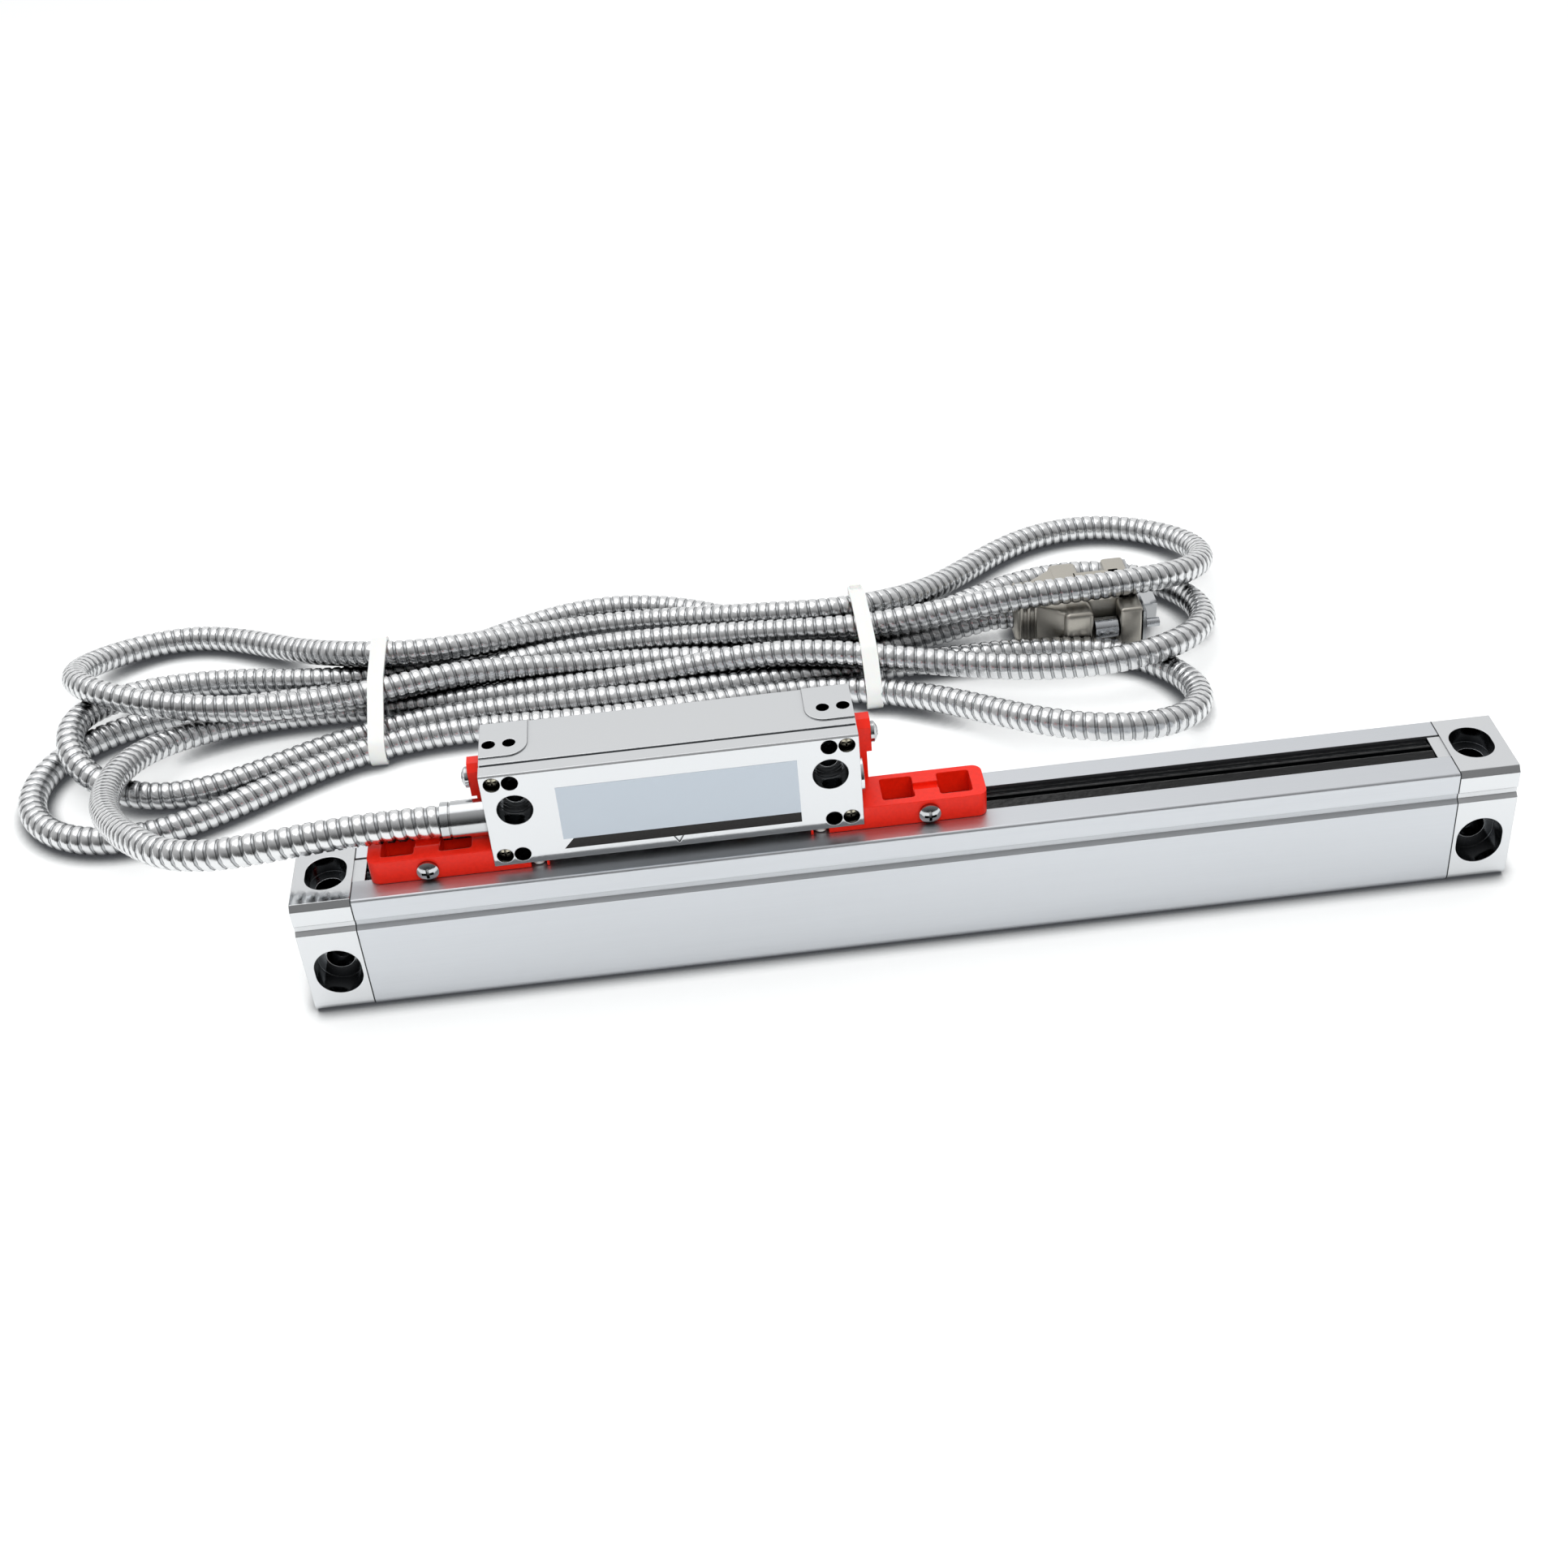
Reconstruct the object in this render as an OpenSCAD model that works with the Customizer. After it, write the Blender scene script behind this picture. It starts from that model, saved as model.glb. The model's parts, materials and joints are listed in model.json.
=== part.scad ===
// Sealed glass-scale linear encoder with a sliding reading head, transit brackets and an armoured cable.
// X runs along the scale, +Y points to its rear mounting face and Z points up.
// The origin is the middle of the scale's bottom face.

/* [Scale housing] */
// Measuring length, which is the travel of the reading head
measuring_l = 170; // [150:5:400]
// Length that the scale has beyond the measuring length
over_l = 141; // [136:1:160]
// Depth of the housing from front to rear
scale_d = 24.2; // [24:0.1:26]
// Height of the housing
scale_h = 35; // [34.6:0.1:38]
// Wall of the aluminium profile
wall = 2.2; // [1.8:0.1:2.5]
// Thickness of the profile's roof beside the slot
roof_t = 5.4; // [5:0.1:5.6]
// Width of the slot along the top
slot_w = 9.4; // [9:0.1:10]
// Distance of the slot's middle behind the housing's middle
slot_y = 1; // [0.8:0.1:1.2]
// Depth of the groove along the front
groove_d = 1.1; // [0.8:0.1:1.8]
// Step from the upper front face to the lower one
step_d = 0.6; // [0.3:0.1:0.9]

/* [End caps] */
// Length of an end cap
cap_l = 15.2; // [15:0.1:18]
// Length of the tongue that reaches into the slot
tongue_l = 3; // [2:0.1:5]
// Thickness of the gasket behind an end cap
gasket_t = 0.3; // [0.3:0.1:1]
// Distance from an end cap's inner face to its mounting holes
hole_back = 6.9; // [6.8:0.1:7.1]
// Height of the front mounting holes
front_hole_z = 13.2; // [12.8:0.1:13.6]
// Diameter of the front mounting holes
front_hole_d = 7; // [6.4:0.1:7.4]
// Diameter of the upright mounting holes
top_hole_d = 6.8; // [6.4:0.1:7.2]
// Depth of the recesses for the bolt heads
recess_depth = 6; // [5:0.1:6.6]

/* [Glass scale and lips] */
// Thickness of the glass scale
glass_t = 3; // [2.5:0.1:3.3]
// Thickness of the elastic bed that holds the glass
bed_t = 0.4; // [0.3:0.05:0.6]
// Gap between the two sealing lips
lip_gap = 1.4; // [1.4:0.1:1.8]
// Thickness of a sealing lip
lip_t = 1.3; // [1:0.1:1.5]

/* [Scanning carriage] */
// Length of the scanning carriage
carriage_l = 64; // [60:1:80]
// Diameter of a carriage roller
roller_d = 6; // [5.6:0.1:6]
// Width of a carriage roller
roller_w = 2.5; // [2:0.1:2.6]
// Diameter of the pins that the rollers turn on
pin_d = 2; // [1.5:0.1:2.2]
// Thickness of the blade that couples the head to the carriage
blade_t = 0.8; // [0.6:0.1:0.8]
// Width of the coupling blade
blade_w = 20; // [16:1:21]

/* [Reading head] */
// Length of the reading head
head_l = 93; // [92:0.5:100]
// Depth of the reading head from front to rear
head_d = 22; // [21.5:0.1:24]
// Height of the reading head
head_h = 28.3; // [28:0.1:30]
// Gap between the scale and the reading head
air_gap = 1.6; // [1.5:0.1:2]
// Distance of the head's front face behind the scale's front face
head_back = 5.7; // [5.4:0.1:6]
// Distance of the resting head's middle to the left of the scale's middle
head_offset = 57.2; // [50:0.1:60]
// Thickness of the head's front cover
cover_t = 4.7; // [4.4:0.1:5]
// Distance from the head's ends to the two large threaded holes
m6_end = 7.5; // [7:0.1:8]
// Width of the sunk mouth of a large threaded hole
m6_mouth_d = 9; // [8:0.1:9.4]

/* [Transit brackets] */
// Length of a bracket's foot beyond the head
foot_l = 31.4; // [30:0.1:36]
// Width of a bracket's foot from front to rear
foot_w = 12.6; // [12.4:0.1:13]
// Height of a bracket's foot
foot_h = 6.7; // [6.6:0.1:8]
// Thickness of a bracket's arm
arm_t = 4.1; // [3.6:0.1:4.6]
// Width of a bracket's arm
arm_w = 4.6; // [4:0.1:5]
// Diameter of the pan heads of the bracket screws
pan_d = 5.5; // [5:0.1:5.6]

/* [Cable] */
// Outer diameter of the armoured cable
hose_d = 8; // [7.5:0.1:8]
// Outer diameter of the ferrule on the head
ferrule_d = 9.6; // [9:0.1:10]
// Length of the ferrule
ferrule_l = 11.7; // [10:0.1:11.7]
// Width of a cable tie
tie_w = 4.8; // [3.6:0.1:5]
// Length of the connector's hood
hood_l = 38; // [34:1:40]

/* [Hidden] */
$fn = 48;

// Small overlap that joins solids, and how far a cut runs past a face
eps = 0.01;
past = 1;
// Play round screws in their clearance holes, round rollers and round loose parts
screw_play = 0.6;
roller_play = 0.5;
part_play = 0.4;
seat_play = 0.2;

// Places along the scale
scale_l = measuring_l + over_l;
end_x = scale_l / 2;
cap_x = end_x - cap_l;
profile_x = cap_x - gasket_t;
hole_x = cap_x + hole_back;
front_y = -scale_d / 2;
rear_y = scale_d / 2;

// Front of the housing, seen from its end
chamfer_y = 1.3;
chamfer_z = 1.6;
groove_top = scale_h - 6.2;
groove_low = scale_h - 8;
step_low = scale_h - 9;
bottom_r = 2.5;
top_r = 0.8;

// Inside of the housing
floor_t = 2.6;
roof_z = scale_h - roof_t;
cavity_front = front_y + wall + step_d / 2;
cavity_rear = rear_y - wall;
lip_slot_z = scale_h - 3.9;
lip_slot_h = 1.9;
lip_slot_d = 2.5;
port_d = 2.2;
port_front = [front_y + 3.3, scale_h - 2.9];
port_rear = [rear_y - 3.6, 4.6];
port_boss_r = 2.6;
cap_screw_head = 4.4;
cap_screw_sink = 1.9;
front_recess = [cap_l - 3.2, 14.2];
top_recess = [cap_l - 4.6, 13];
top_recess_depth = 0.75 * recess_depth;
tongue_drop = 0.3;

// Heights inside the housing, from the roof down to the top edge of the glass
blade_foot_t = 1;
blade_foot_z = roof_z - blade_foot_t - 0.6;
spring_rise = 1.6;
carriage_top = blade_foot_z - spring_rise;
edge_roller_z = carriage_top - part_play - roller_d / 2;
roller_gap = 0.2;
glass_top = edge_roller_z - roller_d / 2 - roller_gap;

// Glass and its bed
glass_y = 2.5;
glass_z = floor_t + bed_t;
glass_h = glass_top - glass_z;
rib_t = 1;
rib_h = 0.26 * glass_h;
glass_end = 3;
lip_end = cap_x - tongue_l - gasket_t;

// Carriage that straddles the glass
glass_clear = 0.6;
pin_fit = 0.05;
edge_roller_x = carriage_l / 2 - 10;
face_roller_x = carriage_l / 2 - 8;
face_roller_y = glass_y - glass_t / 2 - roller_gap - roller_d / 2;
face_roller_z = glass_top - 3.6;
carriage_low = glass_z + glass_h / 3;
post_w = 2;
pin_end = 3;
pin_top = face_roller_z + 3.5;
grating_t = 0.9;
grating_seat = glass_y - glass_t / 2 - glass_clear - 0.6;
limb_front = cavity_front + 2.2;
limb_rear = cavity_rear - 0.8;
light_z = glass_z + 0.6 * glass_h;
lamp_d = 4;
detector_d = 4.6;
grating_half = 9;
grating_rise = 0.2 * glass_h;
board_t = 1.2;

// Coupling between head and carriage
blade_foot_w = 5;
blade_flange = 9;
blade_screw = [6, slot_y + 5.5];
lead_strip_t = 0.3;
lead_strip_w = 5;
lead_strip_x = blade_w / 2 + part_play + post_w + 0.6;
lead_strip_drop = 8;
detector_board_half = lead_strip_x + lead_strip_w + 1;

// Reading head
head_x = -head_offset;
half_l = head_l / 2;
head_z = scale_h + air_gap;
head_top = head_z + head_h;
head_front = front_y + head_back;
head_rear = head_front + head_d;
cover_rear = head_front + cover_t;
seal_t = 0.4;
body_front = cover_rear + seal_t;
head_floor = 3;
head_roof = 3.2;
cavity_margin = 15.5;
cavity_half = half_l - cavity_margin;
head_cavity_rear = head_rear - 2.8;
m6_d = 5;
m6_z = head_z + 0.604 * head_h;
m5_d = 4.2;
m5_depth = 8;
m6_x = half_l - m6_end;
corner_top_z = head_top - 0.106 * head_h;
corner_low_z = head_z + 0.113 * head_h;
cover_screw_x = half_l - 3;
m5_in = 4.4;
m5_x = cover_screw_x - m5_in;
cover_screw_d = 2.5;
cover_screw_head = 4;
cover_screw_sink = 2.6;
cover_screw_l = 7;
top_hole_y = head_front + 12.9;
m4_d = 3.3;
m4_depth = head_h / 4;
dowel_d = 3.4;
dowel_x = half_l - 2.4;
mount_pad_l = 12;
mount_pad_front = head_front + 7.7;
mount_pad_h = 0.3;
pad_x = half_l - 10.9;
pad_y = head_front + cover_t / 2;
pad_d = 3;
pad_seat = 2.2;
pad_low = scale_h + 0.4;
signal_board_y = head_cavity_rear - 3.2;
signal_board_rise = 5.6;
signal_board_drop = 5;
signal_board_low = head_z + signal_board_rise;
signal_board_high = head_top - signal_board_drop;
board_screw_in = 7;
board_screw_x = cavity_half - board_screw_in;
board_screw_z = [signal_board_low + 3.4, signal_board_high - 3];
board_edge = 4;
chip_rise = 6.4;
board_screw_d = 1.6;

// Transit brackets, measured outwards from the head's ends
foot_gap = 0.1;
foot_z = scale_h + foot_gap;
foot_top = foot_z + foot_h;
foot_front = head_front + 0.3;
foot_rear = foot_front + foot_w;
foot_r = 2.5;
spacer_l = 13.5;
spacer_t = air_gap - foot_gap - 0.1;
window_root = 5.2;
window_bar = 6.3;
window_tip = 3.3;
window_l = (foot_l - window_root - window_bar - window_tip) / 2;
window_x = [window_root, window_root + window_l + window_bar];
window_front = 2.2;
window_rear = 1.7;
window_y = foot_front + window_front;
window_w = foot_w - window_front - window_rear;
arm_y = foot_rear - 0.1;
arm_top = head_top - 6;
arm_waist_z = head_top - 15;
arm_waist = 1.3;
arm_screw_z = head_top - 10.6;
arm_screw_grip = 4.2;
arm_x = 0.05;
pan_h = 2;
m3_d = 3;
foot_screw_x = window_x[1] - window_bar / 2;
foot_screw_d = m3_d - 0.4;
foot_screw_l = 8;
foot_screw_z = foot_z + pan_d / 2 + 0.2;

// Cable outlet
outlet_y = head_front + 6.8;
outlet_z = head_z + 11;
spigot_d = 7.6;
spigot_l = 2.5;
wire_d = 3.2;

// Route of the cable's free stretch, from the ferrule to the hank
lead_points = [
    [head_x - half_l - ferrule_l, outlet_y, outlet_z], [-130, 0.9, 47.4], [-145, 1.2, 46.6], [-160, 1.6, 45],
    [-174, 3.2, 43.2], [-187, 8.5, 41.2], [-198, 20, 38], [-206.5, 34, 32.6], [-213.5, 50, 26.5], [-218, 68, 20]
];
lead_sides = 12;
lead_steps = 3;

// Hank of the cable on the floor behind the scale
hank_h = 2.2 * hose_d;
hank_top = 3 * hose_d;
tie_x = [-146, 3];
tie_t = 1.3;
tie_span = [[97, 140], [98, 133]];
left_folds = [[-220, 98, 30], [-209, 115, 30], [-214, 141, 29]];
right_folds = [[73, 82, 29], [72, 126, 33], [78, 148, 29]];
hank_middle = [-75, 95, 167];
hood_x = 50;
hood_y = 126;
hood_w = 31;
hood_t = 15;
hood_play = 0.5;
hank_flat = 7;
shell_l = 6;
flange_t = 1;
thumb_spacing = 25;
thumb_thread_d = 2.84;
thumb_shank_d = 2.2;
thumb_hole_d = 3.4;
thumb_rise = 0.6;
thumb_reach = 4.6;
knob_d = 6.4;
knob_l = 7;
knob_x = hood_l - 14.5;

// Round bar along X
module rod_x(d, x0, x1) {
    translate([x0, 0, 0]) rotate([0, 90, 0]) cylinder(d = d, h = x1 - x0);
}

// Round bar along Y
module rod_y(d, y0, y1) {
    translate([0, y0, 0]) rotate([-90, 0, 0]) cylinder(d = d, h = y1 - y0);
}

// Sweeps a section drawn in Y and Z along X
module along_x(x0, x1) {
    translate([x0, 0, 0]) rotate([90, 0, 90]) linear_extrude(x1 - x0) children();
}

// Block between two corners
module block(low, high) {
    translate(low) cube(high - low);
}

module mirror_x(side) {
    mirror([side < 0 ? 1 : 0, 0, 0]) children();
}

// Puts a shape at an end of the reading head, with X pointing outwards
module at_head_end(side) {
    translate([head_x, 0, 0]) mirror_x(side) translate([half_l, 0, 0]) children();
}

module at_head() {
    translate([head_x, 0, 0]) children();
}

// Slot with round ends, its length along Y
module obround(size) {
    reach = (size[1] - size[0]) / 2;
    for (s = [-1, 1]) translate([0, s * reach]) circle(d = size[0]);
    translate([-size[0] / 2, -reach]) square([size[0], 2 * reach]);
}

// Cross recess of a screw, cut from the top of its head
module cross_recess(size, depth) {
    for (a = [0, 90]) rotate(a)
        translate([-size / 2, -size / 8, -depth]) cube([size, size / 4, depth + eps]);
}

// Pan-head screw that points down, with its head's seat at the origin
module pan_screw(d, length, head_d, head_h) {
    translate([0, 0, -length]) cylinder(d = d, h = length + eps);
    difference() {
        intersection() {
            cylinder(d = head_d, h = head_h);
            translate([0, 0, head_h - head_d * 0.72]) sphere(r = head_d * 0.72);
        }
        translate([0, 0, head_h]) cross_recess(head_d * 0.55, head_h * 0.5);
    }
}

// Outer section of the housing, which the end caps share
module outer_section() {
    difference() {
        union() {
            translate([front_y + bottom_r, 0]) square([scale_d - 2 * bottom_r, scale_h]);
            translate([front_y, bottom_r]) square([scale_d, scale_h - bottom_r - top_r]);
            for (s = [-1, 1]) translate([s * (rear_y - bottom_r), bottom_r]) circle(r = bottom_r);
            translate([front_y + step_d + top_r, scale_h - 2 * top_r])
                square([scale_d - step_d - 2 * top_r, 2 * top_r]);
            for (y = [front_y + step_d + top_r, rear_y - top_r])
                translate([y, scale_h - top_r]) circle(r = top_r);
        }
        polygon([
            [front_y - 1, scale_h - top_r], [front_y + step_d, scale_h - top_r],
            [front_y + step_d, groove_top], [front_y + groove_d, groove_top - 0.3],
            [front_y + groove_d, groove_low], [front_y, step_low], [front_y - 1, step_low]
        ]);
        translate([front_y - 1, scale_h - top_r]) square([1 + step_d, 1 + top_r]);
    }
}

// Hollow of the profile with the slot, the lip grooves and the open screw ports
module profile_section() {
    slot_front = slot_y - slot_w / 2;
    difference() {
        outer_section();
        difference() {
            translate([cavity_front, floor_t])
                square([cavity_rear - cavity_front, roof_z - floor_t]);
            translate(port_rear) circle(r = port_boss_r);
            for (side = [-1, 1])
                translate([glass_y + side * (glass_t / 2 + bed_t + rib_t / 2) - rib_t / 2, floor_t - eps])
                    square([rib_t, rib_h + eps]);
        }
        translate([slot_front, roof_z - eps]) square([slot_w, roof_t + 1]);
        translate([slot_front - lip_slot_d, lip_slot_z])
            square([slot_w + 2 * lip_slot_d, lip_slot_h]);
        for (port = [port_front, port_rear]) translate(port) circle(d = port_d);
    }
}

module housing_profile() {
    color("#DCDFE3") along_x(-profile_x, profile_x) profile_section();
}

module screw_ports(d, x0, x1) {
    for (port = [port_front, port_rear]) translate([0, port[0], port[1]]) rod_x(d, x0, x1);
}

// Die-cast end cap with a tongue, a front hole and an upright hole that cross inside
module end_cap(side) {
    color("#E9ECEF") mirror_x(side) difference() {
        union() {
            along_x(cap_x, end_x) outer_section();
            block([lip_end, slot_y - slot_w / 2 + seat_play, lip_slot_z + lip_slot_h + seat_play],
                  [cap_x + eps, slot_y + slot_w / 2 - seat_play, scale_h - tongue_drop]);
        }
        // Sloped top edge at the front
        along_x(cap_x - eps, end_x + past) polygon([
            [front_y - past, scale_h + past], [front_y - past, scale_h - chamfer_z],
            [front_y + step_d, scale_h - chamfer_z], [front_y + step_d + chamfer_y, scale_h],
            [front_y + step_d + chamfer_y, scale_h + past]
        ]);
        translate([hole_x, 0, front_hole_z]) {
            rod_y(front_hole_d, front_y - past, rear_y + past);
            translate([0, front_y + recess_depth, 0]) rotate([90, 0, 0])
                linear_extrude(recess_depth + past) obround(front_recess);
        }
        translate([hole_x, slot_y, 0]) {
            translate([0, 0, -past]) cylinder(d = top_hole_d, h = scale_h);
            translate([0, 0, scale_h - top_recess_depth])
                linear_extrude(top_recess_depth + past) obround(top_recess);
        }
        screw_ports(port_d + screw_play, cap_x - past, end_x);
        screw_ports(cap_screw_head + part_play, end_x - cap_screw_sink, end_x + past);
    }
}

module cap_gasket(side) {
    color("#3A3D40") mirror_x(side) along_x(profile_x, cap_x) difference() {
        outer_section();
        translate([slot_y - slot_w / 2, roof_z]) square([slot_w, roof_t + 1]);
        translate([cavity_front + 1.5, port_rear[1] + port_boss_r + 1])
            square([cavity_rear - cavity_front - 3, roof_z - port_rear[1] - port_boss_r - 2.5]);
        for (port = [port_front, port_rear]) translate(port) circle(d = port_d + screw_play);
    }
}

module cap_screws() {
    color("#C9CCD0") for (side = [-1, 1]) mirror_x(side)
        for (port = [port_front, port_rear])
            translate([end_x - cap_screw_sink, port[0], port[1]]) rotate([0, 90, 0])
                pan_screw(port_d, cap_l + 4, cap_screw_head, 1.6);
}

// Rubber strip held in a groove of the slot, with a lip that leans to the middle
module seal_lip(side) {
    wall_gap = seat_play / 2;
    root = slot_w / 2 - wall_gap;
    grip = root + lip_slot_d - wall_gap;
    tip = lip_gap / 2;
    low = lip_slot_z + wall_gap;
    high = low + lip_slot_h - 2 * wall_gap;
    ridge = scale_h - 0.5;
    color("#14181C") along_x(-lip_end + seat_play, lip_end - seat_play)
        translate([slot_y, 0]) mirror([side < 0 ? 1 : 0, 0]) polygon([
            [grip, low], [grip, high], [root, high], [root, ridge - 0.5], [root - 1.1, ridge - 0.6],
            [tip + 0.4, ridge + 0.1], [tip, ridge], [tip, ridge - lip_t], [root - 1.5, low]
        ]);
}

module glass_scale() {
    color("#9FC4BD", 0.6)
        block([-profile_x + glass_end, glass_y - glass_t / 2, glass_z],
              [profile_x - glass_end, glass_y + glass_t / 2, glass_top]);
}

module glass_bed() {
    reach = glass_t / 2 + bed_t;
    color("#2B2B2B") along_x(-profile_x + glass_end, profile_x - glass_end) difference() {
        translate([glass_y - reach, floor_t]) square([2 * reach, rib_h]);
        translate([glass_y - glass_t / 2, glass_z]) square([glass_t, rib_h]);
    }
}

// Carriage that hangs over the glass, with pockets for its rollers
module scanning_carriage() {
    half = carriage_l / 2;
    gap_half = glass_t / 2 + glass_clear;
    pocket = roller_d + 2 * roller_play;
    color("#30343A") at_head() difference() {
        union() {
            along_x(-half, half) difference() {
                translate([limb_front, carriage_low])
                    square([limb_rear - limb_front, carriage_top - carriage_low]);
                translate([glass_y - gap_half, 0]) square([2 * gap_half, glass_top + glass_clear]);
            }
            // Posts that the coupling blade pushes along
            for (side = [-1, 1]) mirror_x(side)
                block([blade_w / 2 + part_play, slot_y - blade_foot_w / 2, carriage_top - eps],
                      [blade_w / 2 + part_play + post_w, slot_y + blade_foot_w / 2, blade_foot_z + blade_foot_t]);
        }
        for (side = [-1, 1]) {
            // Edge rollers run on top of the glass
            translate([side * edge_roller_x - pocket / 2, glass_y - roller_w / 2 - roller_play / 2, 0])
                cube([pocket, roller_w + roller_play, carriage_top + past]);
            translate([side * edge_roller_x, 0, edge_roller_z])
                rod_y(pin_d, limb_front + pin_end, limb_rear + past);
            // Face rollers run on the front of the glass
            translate([side * face_roller_x - pocket / 2, face_roller_y - pocket / 2,
                       face_roller_z - roller_w / 2 - roller_play / 2])
                cube([pocket, pocket + past / 2, roller_w + roller_play]);
            translate([side * face_roller_x, face_roller_y, carriage_low - past])
                cylinder(d = pin_d, h = pin_top - carriage_low + past);
        }
        // Light path, and the seats of the lamp and the grating
        translate([0, 0, light_z]) rod_y(lamp_d + seat_play, glass_y, limb_rear + past);
        translate([0, 0, light_z]) rod_y(detector_d + part_play, limb_front - past, glass_y);
        block([-grating_half - seat_play, grating_seat, light_z - grating_rise - seat_play],
              [grating_half + seat_play, glass_y, light_z + grating_rise + seat_play]);
    }
}

module roller_pins() {
    color("#C9CCD0") at_head() for (side = [-1, 1]) {
        translate([side * edge_roller_x, 0, edge_roller_z]) rod_y(pin_d, limb_front + pin_end, limb_rear);
        translate([side * face_roller_x, face_roller_y, carriage_low])
            cylinder(d = pin_d, h = pin_top - carriage_low);
    }
}

// Miniature ball bearing, shown as one ring with a groove between its races
module roller() {
    color("#C9CCD0") difference() {
        cylinder(d = roller_d, h = roller_w, center = true);
        cylinder(d = pin_d + 2 * pin_fit, h = roller_w + 1, center = true);
        for (side = [-1, 1]) translate([0, 0, side * roller_w / 2]) difference() {
            cylinder(d = roller_d - 1.4, h = 0.5, center = true);
            cylinder(d = pin_d + 1.2, h = 1, center = true);
        }
    }
}

module edge_roller(side) {
    at_head() translate([side * edge_roller_x, glass_y, edge_roller_z]) rotate([90, 0, 0]) roller();
}

module face_roller(side) {
    at_head() translate([side * face_roller_x, face_roller_y, face_roller_z]) roller();
}

module lamp() {
    color("#F2E3C0") at_head() translate([0, 0, light_z]) {
        rod_y(lamp_d, limb_rear - lamp_d / 2, limb_rear);
        intersection() {
            translate([0, limb_rear - lamp_d / 2, 0]) sphere(d = lamp_d);
            rod_y(lamp_d, limb_rear - lamp_d, limb_rear - lamp_d / 2);
        }
    }
}

module index_grating() {
    color("#9FC4BD", 0.6) at_head()
        block([-grating_half, grating_seat, light_z - grating_rise],
              [grating_half, grating_seat + grating_t, light_z + grating_rise]);
}

module detector_board() {
    color("#2F6B45") at_head()
        block([-detector_board_half, limb_front - board_t, carriage_low + 0.6],
              [detector_board_half, limb_front, carriage_top - 3]);
}

module photo_detector() {
    color("#1C1C1E") at_head() translate([0, 0, light_z]) rod_y(detector_d, limb_front, limb_front + 1.6);
}

// Flat lead from the detector board, up between the lips to the head's circuit board
module flat_lead() {
    rise_y = slot_y - lead_strip_t / 2;
    bend_z = carriage_top + 0.8;
    top_z = signal_board_low + 1.2;
    board_y = limb_front - board_t;
    color("#C88A3A") at_head() along_x(lead_strip_x, lead_strip_x + lead_strip_w) polygon([
        [board_y - lead_strip_t, carriage_top - lead_strip_drop],
        [board_y, carriage_top - lead_strip_drop], [board_y, bend_z],
        [rise_y + lead_strip_t, bend_z], [rise_y + lead_strip_t, top_z - lead_strip_t],
        [signal_board_y, top_z - lead_strip_t], [signal_board_y, top_z], [rise_y, top_z],
        [rise_y, bend_z + lead_strip_t], [board_y - lead_strip_t, bend_z + lead_strip_t]
    ]);
}

// Bowed leaf spring between the blade's foot and the carriage
module pressure_spring() {
    strip_t = 0.3;
    half = blade_w / 2 - 0.6;
    bow_r = (half * half + spring_rise * spring_rise) / (2 * spring_rise);
    color("#B8BCC2") at_head() translate([0, slot_y + 2, 0]) rotate([90, 0, 0]) linear_extrude(4)
        intersection() {
            translate([0, blade_foot_z - bow_r]) difference() {
                circle(r = bow_r, $fn = 180);
                circle(r = bow_r - strip_t, $fn = 180);
            }
            translate([-half, carriage_top]) square([2 * half, spring_rise]);
        }
}

// Thin blade that reaches from the head between the lips to the carriage
module coupling_blade() {
    fix_z = head_z + head_floor;
    color("#B8BCC2") at_head() difference() {
        along_x(-blade_w / 2, blade_w / 2) union() {
            translate([slot_y - blade_foot_w / 2, blade_foot_z]) square([blade_foot_w, blade_foot_t]);
            translate([slot_y - blade_t / 2, blade_foot_z]) square([blade_t, fix_z + blade_foot_t - blade_foot_z]);
            translate([slot_y - blade_t / 2, fix_z]) square([blade_flange, blade_foot_t]);
        }
        for (side = [-1, 1]) translate([side * blade_screw[0], blade_screw[1], fix_z - past])
            cylinder(d = 2 + seat_play, h = 3);
    }
}

module blade_screws() {
    color("#C9CCD0") at_head() for (side = [-1, 1])
        translate([side * blade_screw[0], blade_screw[1], head_z + head_floor + blade_foot_t])
            pan_screw(2, 3.2, 3.8, 1.3);
}

// Places where the cover, its gasket and the body are screwed together
module at_cover_screws() {
    for (x = [-cover_screw_x, cover_screw_x]) for (z = [corner_low_z, corner_top_z])
        translate([x, 0, z]) children();
}

// Holes that a machine part is bolted to, from the head's front
module front_holes() {
    for (x = [-m5_x, m5_x]) for (z = [corner_low_z, corner_top_z])
        translate([x, 0, z]) rod_y(m5_d, head_front - past, head_front + m5_depth);
    for (x = [-m6_x, m6_x]) translate([x, 0, m6_z]) {
        rod_y(m6_mouth_d, head_front - past, body_front + 1.6);
        rod_y(m6_d, head_front, head_rear + past);
    }
}

// Places where the circuit board is screwed to its posts
module at_board_screws() {
    for (x = [-board_screw_x, board_screw_x]) for (z = board_screw_z) translate([x, 0, z]) children();
}

// Sockets for the ferrule and the plug in both ends of the head
module outlet_seats(d) {
    for (side = [-1, 1]) mirror_x(side)
        translate([0, outlet_y, outlet_z]) rod_x(d, half_l - spigot_l, half_l + past);
}

// Low pad with one round corner round the holes in the head's top
module mount_pad() {
    r = 5;
    linear_extrude(mount_pad_h + eps) union() {
        translate([-mount_pad_l + r, mount_pad_front]) square([mount_pad_l - r, head_rear - mount_pad_front]);
        translate([-mount_pad_l, mount_pad_front + r]) square([r + eps, head_rear - mount_pad_front - r]);
        translate([-mount_pad_l + r, mount_pad_front + r]) circle(r = r);
    }
}

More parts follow.
